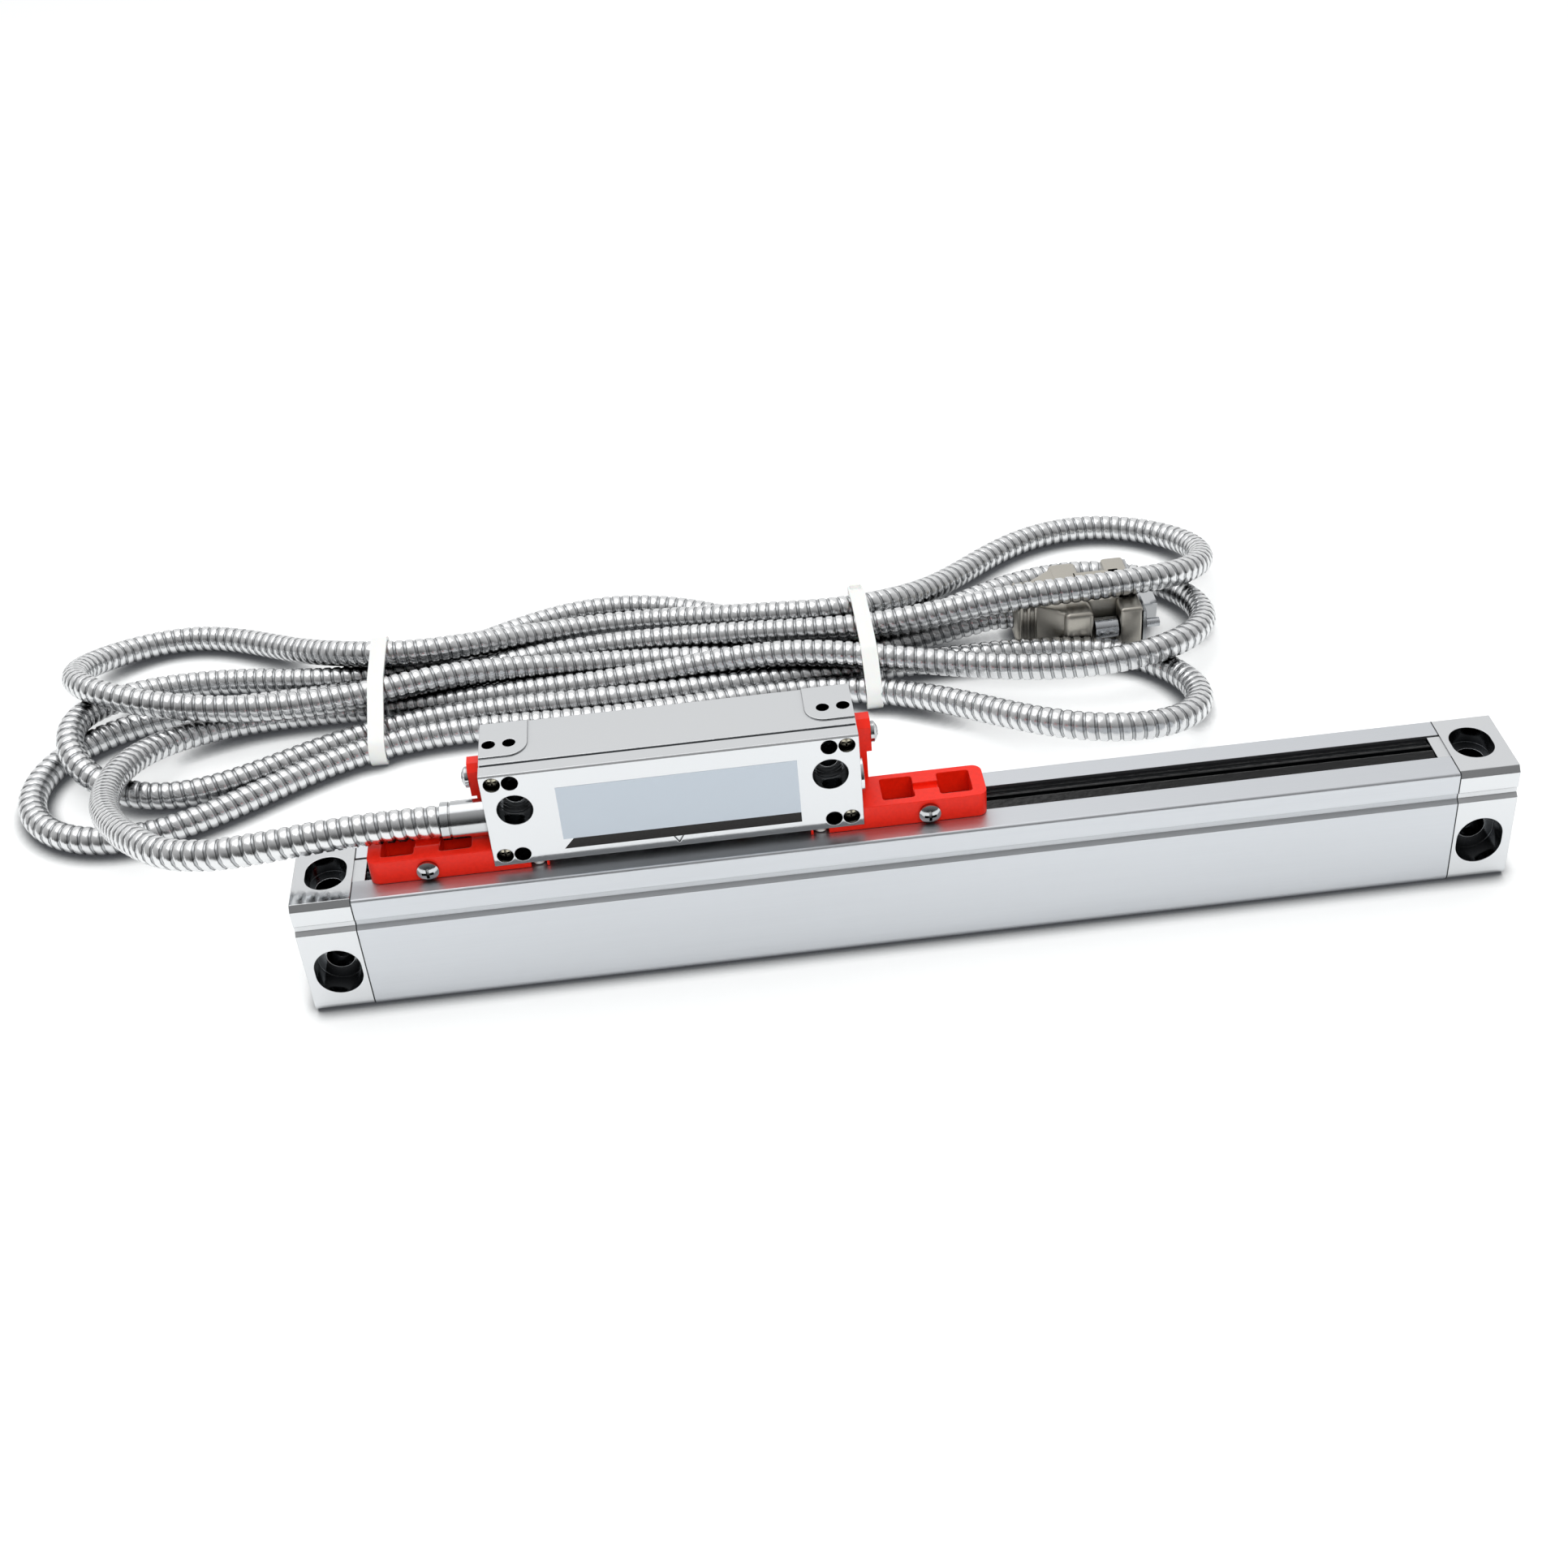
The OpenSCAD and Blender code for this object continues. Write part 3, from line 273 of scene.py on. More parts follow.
def painted_recess_shade(tree, surface, colour, dark, reach_mm, own_only=True):
    """Paints shade into the colour where a surface lies deep in a hole, a groove or a corner."""
    depth = add(tree, "AmbientOcclusion", {"Distance": reach_mm * MM}, samples=6, only_local=own_only)
    ramp = add(tree, "ValToRGB", links={"Fac": depth.outputs["AO"]})
    set_stops(ramp.color_ramp, ((0.3, linear(dark)), (0.92, linear(colour))))
    tree.links.new(ramp.outputs[0], surface.inputs["Base Color"])


def anodised_aluminium(colour):
    """Extruded and anodised aluminium: a satin sheen with fine lines along the profile."""
    material, tree, surface, place = start_material("anodised_aluminium", colour, Metallic=1.0)
    # Die lines are finer than this on a real profile, and are drawn coarser so that they show
    lines = pattern(tree, place, (50, 0.15, 0.15), 2.0)
    roughness_from(tree, surface, lines, 0.38, 0.48)
    # Painted shade darkens the profile's grooves and corners
    painted_recess_shade(tree, surface, colour, "#4A4D50", 2.5)
    relief(tree, surface, lines, 0.002, 0.25)
    return material


def chromed_casting(colour):
    """Chrome on a zinc casting: bright mirrors with the slight waviness of a cast wall."""
    material, tree, surface, place = start_material("chromed_zinc", colour, Metallic=1.0)
    waves = pattern(tree, place, (9, 7, 7), 1.0)
    specks = pattern(tree, place, (0.8, 0.8, 0.8), 2.0)
    roughness_from(tree, surface, specks, 0.08, 0.15)
    # Painted shade darkens the holes and recesses of the casting
    painted_recess_shade(tree, surface, colour, "#4A4D50", 13)
    relief(tree, surface, waves, 0.05, 0.3)
    return material


def moulded_red(colour):
    """Red plastic from a mould: an even gloss with a faint grain and softened edges."""
    material, tree, surface, place = start_material("red_plastic", colour, IOR=1.5, Specular_IOR_Level=0.35)
    # The mould's grain is finer than this, and is drawn coarser so that it shows
    grain = pattern(tree, place, (0.9, 0.9, 0.9), 3.0)
    roughness_from(tree, surface, grain, 0.34, 0.42)
    colour_from(tree, surface, grain, "#EB220D", colour)
    relief(tree, surface, grain, 0.004, 0.35)
    return material


def lip_rubber(colour):
    """Wiped nitrile rubber: black with wet-looking highlights and long drawn marks."""
    material, tree, surface, place = start_material("lip_rubber", colour, IOR=1.4)
    marks = pattern(tree, place, (2.6, 0.8, 0.8), 3.0)
    roughness_from(tree, surface, marks, 0.05, 0.14)
    relief(tree, surface, marks, 0.14, 0.2)
    return material


def gasket_rubber(colour, name="gasket_rubber"):
    """Cut rubber sheet: a dark matt line between the castings."""
    material, tree, surface, place = start_material(name, colour)
    grain = pattern(tree, place, (0.4, 0.4, 0.4), 2.0)
    roughness_from(tree, surface, grain, 0.6, 0.8)
    relief(tree, surface, grain, 0.01)
    return material


def bright_steel(name, colour, low, high):
    """Turned or drawn steel: bright metal with fine marks, darker in its recesses and close to other parts by
    painted shade.
    """
    material, tree, surface, place = start_material(name, colour, Metallic=1.0)
    # Tool marks are finer than this, and are drawn coarser so that they show
    marks = pattern(tree, place, (0.6, 0.6, 0.6), 3.0)
    roughness_from(tree, surface, marks, low, high)
    # Painted shade in recesses and where other parts come close
    painted_recess_shade(tree, surface, colour, "#35332F", 1.2, own_only=False)
    relief(tree, surface, marks, 0.004)
    return material


def hose_steel(colour):
    """Wound stainless strip: bright ridges between thin dark lines of painted groove shade, and painted shade
    where strands touch.
    """
    material, tree, surface, place = start_material("stainless_hose", colour, Metallic=1.0)
    patches = pattern(tree, place, (14, 14, 14), 2.0)
    roughness_from(tree, surface, patches, 0.2, 0.3)
    # One turn of the strip for each unit along the hose, and one more round it
    unrolled = add(tree, "SeparateXYZ", links={"Vector": add(tree, "TexCoord").outputs["UV"]})
    turn = add(tree, "Math", links={0: unrolled.outputs["X"], 1: unrolled.outputs["Y"]}, operation="SUBTRACT")
    share = add(tree, "Math", links={0: turn.outputs[0]}, operation="FRACT")
    # Painted shade in the grooves: a dull grey on their floor and a thin dark line at each edge
    painted_groove_shade, line, ridge = linear("#B4B6B8"), linear("#5A5C5E"), linear(colour)
    strip = add(tree, "ValToRGB", links={"Fac": share.outputs[0]})
    set_stops(strip.color_ramp, ((0.0, painted_groove_shade), (0.07, painted_groove_shade), (0.13, line), (0.19, ridge), (0.81, ridge),
                                 (0.87, line), (0.93, painted_groove_shade)))
    # Painted shade in the valleys where one strand lies against the next
    touch = add(tree, "AmbientOcclusion", {"Distance": 9 * MM}, samples=6, only_local=True)
    painted_valley_shade = add(tree, "ValToRGB", links={"Fac": touch.outputs["AO"]})
    set_stops(painted_valley_shade.color_ramp, ((0.2, linear("#1D1C1A")), (0.55, linear("#FFFFFF"))))
    shaded = add(tree, "VectorMath", links={0: strip.outputs[0], 1: painted_valley_shade.outputs[0]}, operation="MULTIPLY")
    tree.links.new(shaded.outputs[0], surface.inputs["Base Color"])
    return material


def white_nylon(colour):
    """Natural nylon: milky and faintly glossy."""
    material, tree, surface, place = start_material(
        "nylon", colour, IOR=1.53, Subsurface_Weight=0.15, Subsurface_Scale=0.002)
    grain = pattern(tree, place, (0.8, 0.8, 0.8), 2.0)
    roughness_from(tree, surface, grain, 0.32, 0.44)
    relief(tree, surface, grain, 0.01)
    return material


def clear_glass(colour):
    """Float glass: clear, with the green of its edge."""
    material, tree, surface, place = start_material(
        "scale_glass", colour, IOR=1.52, Transmission_Weight=0.9)
    haze = pattern(tree, place, (3, 3, 3), 1.0)
    roughness_from(tree, surface, haze, 0.02, 0.06)
    return material


def fine_plastic(name, colour, low, high):
    """Plain moulded plastic or lacquer: a fine even grain."""
    material, tree, surface, place = start_material(name, colour, IOR=1.5)
    # The grain is finer than this, and is drawn coarser so that it shows
    grain = pattern(tree, place, (0.5, 0.5, 0.5), 3.0)
    roughness_from(tree, surface, grain, low, high)
    relief(tree, surface, grain, 0.008)
    return material


def make_materials(finish):
    """One material for each slot of the record, and those of the pieces that only this script makes."""
    return {
        "anodised_aluminium": anodised_aluminium(finish.aluminium),
        "chromed_zinc": chromed_casting(finish.chrome),
        "steel": bright_steel("ground_steel", "#C9CCD0", 0.18, 0.3),
        "spring_steel": bright_steel("spring_steel", "#B8BCC2", 0.25, 0.4),
        "yellow_zinc": bright_steel("yellow_zinc_screw", "#BDB8A6", 0.2, 0.34),
        "nickel": bright_steel("bright_nickel", "#C4C6C8", 0.12, 0.2),
        "gasket_rubber": gasket_rubber("#25282B"),
        "lip_rubber": lip_rubber(finish.rubber),
        "bed_rubber": gasket_rubber("#2B2B2B", "bed_rubber"),
        "scale_glass": clear_glass("#CFE5E0"),
        "carriage_plastic": fine_plastic("carriage_plastic", "#30343A", 0.4, 0.5),
        "lamp_epoxy": fine_plastic("lamp_epoxy", "#F2E3C0", 0.1, 0.2),
        "circuit_board": fine_plastic("circuit_board", "#2F6B45", 0.3, 0.45),
        "polyimide": fine_plastic("polyimide", "#C88A3A", 0.2, 0.3),
        "black_plastic": fine_plastic("black_plastic", "#1C1C1E", 0.35, 0.5),
        "white_plastic": fine_plastic("white_plastic", "#F2F2EE", 0.35, 0.45),
        "label_film": fine_plastic("label_film", "#CAD4DE", 0.3, 0.4),
        "label_ink": fine_plastic("label_ink", "#0D0908", 0.5, 0.62),
        "red_plastic": moulded_red(finish.bracket),
        "stainless_hose": hose_steel("#E2E3E4"),
        "nylon": white_nylon("#F6F6F3"),
        "plated_hood": bright_steel("plated_hood", "#BDB9B0", 0.28, 0.42),
    }


def seen_white(tree, strength):
    """Strength that only camera, glossy and transmission rays see."""
    seen = add(tree, "LightPath")
    rays = {0: seen.outputs["Is Camera Ray"], 1: seen.outputs["Is Glossy Ray"]}
    first = add(tree, "Math", links=rays, operation="MAXIMUM")
    rays = {0: first.outputs[0], 1: seen.outputs["Is Transmission Ray"]}
    second = add(tree, "Math", links=rays, operation="MAXIMUM")
    return add(tree, "Math", {1: strength}, {0: second.outputs[0]}, operation="MULTIPLY").outputs[0]


# Shapes

def new_object(name, data, body, slot, *replaced, material=None):
    """Links a finished piece, lets it ride on its body and gives it its material."""
    piece = bpy.data.objects.new(name, data)
    bpy.context.scene.collection.objects.link(piece)
    data.materials.append(bpy.data.materials[SLOT_MATERIALS[material or slot]])
    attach(piece, body)
    if replaced:
        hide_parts(*replaced)
    return piece


def mesh_from(shape, name, smooth_angle=30):
    """Turns a bmesh to a mesh with clean outward normals."""
    bmesh.ops.remove_doubles(shape, verts=shape.verts, dist=1e-6)
    bmesh.ops.recalc_face_normals(shape, faces=shape.faces)
    mesh = bpy.data.meshes.new(name)
    shape.to_mesh(mesh)
    shape.free()
    mesh.shade_smooth()
    mesh.set_sharp_from_angle(angle=math.radians(smooth_angle))
    return mesh


def rounded_edges(shape, edges, radius, segments=3):
    """Rounds edges by a radius in metres."""
    bmesh.ops.bevel(shape, geom=edges, offset=radius, offset_type="OFFSET", affect="EDGES",
                    segments=segments, profile=0.5, material=-1, clamp_overlap=True)


def add_block(shape, low, high, radius=0.0, segments=2):
    """Adds a block between two corners, in metres, with rounded edges."""
    size = [b - a for a, b in zip(low, high)]
    middle = [(a + b) / 2 for a, b in zip(low, high)]
    place = Matrix.Translation(middle) @ Matrix.Diagonal(size + [1.0])
    made = bmesh.ops.create_cube(shape, size=1.0, matrix=place)
    if radius:
        edges = list({edge for vert in made["verts"] for edge in vert.link_edges})
        rounded_edges(shape, edges, radius, segments)


# Route of the hose

def half_turn(fold, side, upward):
    """Five points round a fold, to the left or right, towards the back or the front."""
    (x, y), radius, heights = fold
    angles = [-90, -45, 0, 45, 90] if upward else [90, 45, 0, -45, -90]
    return [
        (x + side * radius * math.cos(math.radians(a)), y + radius * math.sin(math.radians(a)), z)
        for a, z in zip(angles, heights)
    ]


def straight_run(index, rightward):
    """Five points of a run through both ties."""
    left_y, left_z, middle_y, right_y, right_z = RUNS[index]
    points = [
        (TIE_LEFT, left_y, left_z), (MIDDLE - 35, (2 * middle_y + left_y) / 3, left_z - 1.2),
        (MIDDLE, middle_y, 4), (MIDDLE + 35, (2 * middle_y + right_y) / 3, right_z - 1.2),
        (TIE_RIGHT, right_y, right_z),
    ]
    return points if rightward else points[::-1]


def hose_route():
    """Points of the whole hose, from the ferrule through three folds at each end to the connector."""
    middle_left, outer_left, upper_left = LEFT_FOLDS
    inner_right, front_right, back_right = RIGHT_FOLDS
    points = list(LEAD) + [(-218, 85, 17), (-213, 102, 14), (-202, 114.5, 10.5)]
    points += [(-186, 120, 7), (-166, 119.5, 5)]
    points += straight_run(0, True) + [(40, 97, 13)] + half_turn(inner_right, 1, True) + [(38, 146, 4)]
    points += straight_run(1, False) + [(-176, 139, 4)] + half_turn(middle_left, -1, False) + [(-176, 94, 4)]
    points += straight_run(2, True) + [(38, 107.5, 4)] + half_turn(front_right, 1, False) + [(38, 70, 13.5)]
    points += straight_run(3, False) + [(-184, 81, 4)] + half_turn(outer_left, -1, True) + [(-182, 123, 4)]
    points += straight_run(4, True) + [(44, 122, 19.5)] + half_turn(back_right, 1, True) + [(42, 163, 4)]
    points += straight_run(5, False) + [(-180, 157, 5)] + half_turn(upper_left, -1, False)
    points += [(-180, 116, 14)] + straight_run(6, True) + [(28, 123, 6), (42, 126, 7.5), (50, 126, 7.5)]
    return np.array(points, float)


def smooth_line(points, steps=24):
    """Curve through the points whose bends follow their spacing."""
    held = np.vstack([2 * points[0] - points[1], points, 2 * points[-1] - points[-2]])
    line = []
    for k in range(1, len(held) - 2):
        a, b, c, d = held[k - 1:k + 3]
        t1 = np.linalg.norm(b - a) ** 0.5
        t2 = t1 + np.linalg.norm(c - b) ** 0.5
        t3 = t2 + np.linalg.norm(d - c) ** 0.5
        for t in np.linspace(t1, t2, steps, endpoint=False):
            ab = a + (b - a) * t / t1
            bc = b + (c - b) * (t - t1) / (t2 - t1)
            cd = c + (d - c) * (t - t2) / (t3 - t2)
            first = ab + (bc - ab) * t / t2
            second = bc + (cd - bc) * (t - t1) / (t3 - t1)
            line.append(first + (second - first) * (t - t1) / (t2 - t1))
    line.append(points[-1])
    return np.array(line)


def evenly(line, count):
    """The same line with evenly spaced points, and its length."""
    along = np.concatenate([[0], np.cumsum(np.linalg.norm(np.diff(line, axis=0), axis=1))])
    places = np.linspace(0, along[-1], count)
    return np.stack([np.interp(places, along, line[:, k]) for k in range(3)], 1), along[-1]


def push_apart(points, free, first, second, distance):
    """Moves turns of the hose apart where they lie in each other."""
    gap = points[second] - points[first]
    length = np.linalg.norm(gap, axis=1)
    hit = length < distance
    a, b = first[hit], second[hit]
    push = gap[hit] * (PUSH * (distance - length[hit]) / length[hit])[:, None]
    move = np.zeros_like(points)
    count = np.ones(len(points))
    np.add.at(move, a, -push)
    np.add.at(move, b, push)
    np.add.at(count, a, 0.5)
    np.add.at(count, b, 0.5)
    points += free * move / count[:, None] ** 0.5


def keep_spacing(points, free, step):
    """Pulls neighbouring points back to their distance along the hose."""
    for start in (0, 1):
        a = np.arange(start, len(points) - 1, 2)
        gap = points[a + 1] - points[a]
        length = np.linalg.norm(gap, axis=1)[:, None]
        pull = gap * (length - step) / (2 * length)
        points[a] += free[a] * pull
        points[a + 1] -= free[a + 1] * pull


def keep_off(points, free, radius):
    """Keeps the hose on the floor and on top of the connector's hood."""
    low = np.array(HOOD_LOW) - radius
    high = np.array(HOOD_HIGH) + radius
    over = ((points[:, :2] > low[:2]) & (points[:, :2] < high[:2])).all(1)
    over &= (points[:, 2] > high[2] / 2) & (free[:, 0] > 0)
    points[over, 2] = np.maximum(points[over, 2], high[2])
    points[:, 2] = np.maximum(points[:, 2], radius)


def settled(line, diameter, steps=260, count=480):
    """Lets the stiff hose settle on the floor, with its turns beside and on each other."""
    points, length = evenly(line, count)
    step = length / (count - 1)
    free = np.ones((count, 1))
    end_of_lead = int(np.argmin(np.linalg.norm(points - np.array(LEAD[-1]), axis=1)))
    free[:end_of_lead + 1] = 0
    free[-3:] = 0
    # Points less than this many apart are neighbours on one turn, and don't push each other
    neighbours = 5
    first, second = np.triu_indices(count, neighbours)
    for _ in range(steps):
        points -= free * np.array([0, 0, SINKING])
        for _ in range(4):
            bend = np.zeros_like(points)
            bend[1:-1] = (points[:-2] + points[2:]) / 2 - points[1:-1]
            stiff = np.zeros_like(points)
            stiff[2:-2] = bend[2:-2] - (bend[1:-3] + bend[3:-1]) / 2
            points += STIFFNESS * free * stiff
            push_apart(points, free, first, second, SPACING * diameter)
            keep_spacing(points, free, step)
            keep_off(points, free, diameter / 2)
    return points


def strip_depth(turn):
    """Depth of the wound strip for each place in its turn, from 0 on the ridge to 1 in the groove."""
    ridge = 0.58
    slope = 0.25
    across = 2 * np.abs(turn % 1 - 0.5)
    share = np.clip((across - ridge) / slope, 0, 1)
    return share * share * (3 - 2 * share)


def strands_at(points, x):
    """Depth and height of each strand where it crosses a plane along the hank."""
    crossings = []
    for a, b in zip(points[:-1], points[1:]):
        if (a[0] - x) * (b[0] - x) < 0 and a[1] > 60:
            share = (x - a[0]) / (b[0] - a[0])
            crossings.append(a[1:] + share * (b[1:] - a[1:]))
    return np.array(crossings)


# The pieces' operators

class EncoderMakeFinishes(bpy.types.Operator):
    """Gives every CAD node its procedural material."""

    bl_idname = "encoder.make_finishes"
    bl_label = "Finishes"

    def execute(self, context):
        materials = make_materials(context.scene.encoder_finish)
        for slot, material in materials.items():
            SLOT_MATERIALS[slot] = material.name
        for part in frame["record"]["subparts"]:
            data = NODES[part["node"]].data
            data.materials.clear()
            data.materials.append(materials[part["material_slot"]])
        return {"FINISHED"}


class EncoderMakeHose(bpy.types.Operator):
    """Makes the armoured hose as one wound tube, and the two ties that hold its hank."""

    bl_idname = "encoder.make_hose"
    bl_label = "Hose and ties"

    def execute(self, context):
        sizes = context.scene.encoder_hose
        diameter = sizes.diameter / MM
        points = settled(smooth_line(hose_route()), diameter)
        line = smooth_line(points, 6)
        hose = self.hose_tube(context, line, sizes)
        ties = [
            self.tie("cable_tie_band_left", points, TIE_LEFT, context, "cable_tie_left"),
            self.tie("cable_tie_band_right", points, TIE_RIGHT, context, "cable_tie_right"),
        ]
        return {"FINISHED"}

    def hose_tube(self, context, line, sizes):
        """Tube along the route whose wall steps down between the turns of the wound strip."""
        rings = 7
        sides = 14
        length = np.linalg.norm(np.diff(line, axis=0), axis=1).sum()
        count = int(length / (sizes.pitch / MM) * rings) + 1
        line, _ = evenly(line, count)
        curve = bpy.data.curves.new("hose_core", "CURVE")
        curve.dimensions = "3D"
        curve.bevel_depth = sizes.diameter / 2
        curve.bevel_resolution = sides // 2 - 2
        curve.twist_mode = "MINIMUM"
        spline = curve.splines.new("POLY")
        spline.points.add(count - 1)
        spline.points.foreach_set("co", np.hstack([line * MM, np.ones((count, 1))]).ravel())
        core = bpy.data.objects.new("hose_core", curve)
        context.scene.collection.objects.link(core)
        mesh = bpy.data.meshes.new_from_object(core)
        bpy.data.objects.remove(core)
        bpy.data.curves.remove(curve)
        self.wind(mesh, line, rings, sides, sizes.groove)
        shape = bmesh.new()
        shape.from_mesh(mesh)
        bmesh.ops.holes_fill(shape, edges=[edge for edge in shape.edges if edge.is_boundary])
        bpy.data.meshes.remove(mesh)
        return new_object("armoured_hose", mesh_from(shape, "armoured_hose", 80), "reading_head",
                          "stainless_hose", "cable_lead", "cable_hank")

    def wind(self, mesh, line, rings, sides, groove):
        """Sinks the plain tube's wall along a helix, and counts the turns in its UV map."""
        count = len(line)
        wall = np.empty(count * sides * 3)
        mesh.vertices.foreach_get("co", wall)
        wall = wall.reshape(count, sides, 3)
        middle = line[:, None] * MM
        turn = np.arange(count)[:, None] / rings - np.arange(sides)[None] / sides
        sunk = middle + (wall - middle) * (1 - groove * strip_depth(turn))[..., None]
        mesh.vertices.foreach_set("co", sunk.ravel())
        unrolled = np.empty(len(mesh.loops) * 2)
        mesh.uv_layers[0].data.foreach_get("uv", unrolled)
        unrolled = unrolled.reshape(-1, 2) * ((count - 1) / rings, 1)
        mesh.uv_layers[0].data.foreach_set("uv", unrolled.ravel())

    def tie(self, name, points, x, context, replaced):
        """Band that follows the bundle, with its ratchet head and cut tail."""
        sizes = context.scene.encoder_ties
        radius = context.scene.encoder_hose.diameter / 2 + 0.05 * MM
        strands = strands_at(points, x) * MM
        if len(strands) < 3:
            raise RuntimeError("the tie at %g mm finds no bundle" % x)
        shape = bmesh.new()
        band = bmesh.ops.create_circle(shape, segments=64, radius=1.0)["verts"]
        for vert in band:
            outward = np.array([vert.co.x, vert.co.y])
            touched = strands[np.argmax(strands @ outward)] + radius * outward
            vert.co = (x * MM - sizes.width / 2, touched[0], max(touched[1], 0.15 * MM))
        made = bmesh.ops.extrude_edge_only(shape, edges=shape.edges[:])
        side = [item for item in made["geom"] if isinstance(item, bmesh.types.BMVert)]
        bmesh.ops.translate(shape, verts=side, vec=(sizes.width, 0, 0))
        bmesh.ops.recalc_face_normals(shape, faces=shape.faces)
        bmesh.ops.solidify(shape, geom=shape.faces[:], thickness=-sizes.thickness)
        bmesh.ops.recalc_face_normals(shape, faces=shape.faces)
        for vert in shape.verts:
            vert.co.z = max(vert.co.z, 0.0)
        self.ratchet(shape, strands[np.argmax(strands[:, 0])], x * MM, radius, sizes.width / 2)
        return new_object(name, mesh_from(shape, name), "reading_head", "nylon", replaced)

    def ratchet(self, shape, rear_strand, x, radius, half):
        """The tie's head behind the rearmost strand, and the cut end of the band above it."""
        depth, height = rear_strand
        front = depth + radius + 0.6 * MM
        tail = 0.7 * half
        add_block(shape, (x - half, front, height - 2.6 * MM),
                  (x + half, front + 3.6 * MM, height + 3 * MM), 0.6 * MM)
        add_block(shape, (x - tail, front + 1 * MM, height + 2.8 * MM),
                  (x + tail, front + 2.1 * MM, height + 4.4 * MM), 0.2 * MM)


class EncoderMakeHood(bpy.types.Operator):
    """Makes the connector's hood with its rounded back, grip ribs and screw windows."""

    bl_idname = "encoder.make_hood"
    bl_label = "Connector hood"

    def execute(self, context):
        low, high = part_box("connector_hood")
        shape = bmesh.new()
        middle = (low.y + high.y) / 2
        entry = 7 * MM
        rib_half = 7.5 * MM
        rib_width = 1.1 * MM
        web = 8.4 * MM
        nose = low.x + 11 * MM
        window = high.x - 15 * MM
        flange = high.x - 7 * MM
        # Cable entry, shoulder, body, flange, and the web between the two screw windows
        add_block(shape, (low.x, middle - entry, low.z + 0.8 * MM),
                  (nose + 1 * MM, middle + entry, high.z - 0.8 * MM), 2.4 * MM, 4)
        self.shoulder(shape, low, high, nose - 5 * MM, nose + 5 * MM, middle, entry)
        add_block(shape, (nose + 3 * MM, low.y, low.z), (window, high.y, high.z), 1.6 * MM, 3)
        add_block(shape, (flange, low.y, low.z), (high.x, high.y, high.z), 1.0 * MM, 3)
        add_block(shape, (window - 2 * MM, middle - web, low.z), (high.x - 3 * MM, middle + web, high.z))
        for k in range(4):
            rib = low.x + (1.5 + 2.2 * k) * MM
            add_block(shape, (rib, middle - rib_half, low.z + 0.3 * MM),
                      (rib + rib_width, middle + rib_half, high.z - 0.3 * MM), 0.45 * MM, 2)
        new_object("connector_hood_shell", mesh_from(shape, "connector_hood_shell"), "reading_head",
                   "plated_hood", "connector_hood")
        return {"FINISHED"}

    def shoulder(self, shape, low, high, start, end, middle, entry):
        """Tapered stretch between the cable entry and the hood's full width."""
        made = bmesh.ops.create_cube(shape, size=1.0)["verts"]
        for vert in made:
            wide = vert.co.x > 0
            half = (high.y - low.y) / 2 - 0.4 * MM if wide else entry
            vert.co = (end if wide else start, middle + math.copysign(half, vert.co.y),
                       high.z - 0.3 * MM if vert.co.z > 0 else low.z + 0.3 * MM)
        edges = list({edge for vert in made for edge in vert.link_edges})
        rounded_edges(shape, edges, 1.2 * MM)


class EncoderMakeLabel(bpy.types.Operator):
    """Lays a blank label on the front of the reading head, pale with a dark strip along its foot."""

    bl_idname = "encoder.make_label"
    bl_label = "Blank label"

    def execute(self, context):
        low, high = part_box("head_cover")
        middle = (low.x + high.x) / 2
        left = middle - 28.5 * MM
        right = middle + 31 * MM
        front = low.y
        # How far the strip's upper left corner is cut back, then the foot and the top of each field
        for name, slot, material, slant, z0, z1 in (
            ("label_field", "white_plastic", "label_film", 0, 6.4, 22.4),
            ("label_strip", "black_plastic", "label_ink", 2.6, 3.4, 6.4),
        ):
            shape = bmesh.new()
            add_block(shape, (left, front - 0.08 * MM, low.z + z0 * MM),
                      (right, front + 0.02 * MM, low.z + z1 * MM))
            for vert in shape.verts:
                if vert.co.x < middle and vert.co.z > low.z + (z0 + z1) / 2 * MM:
                    vert.co.x += slant * MM
            new_object(name, mesh_from(shape, name), "reading_head", slot, material=material)
        return {"FINISHED"}


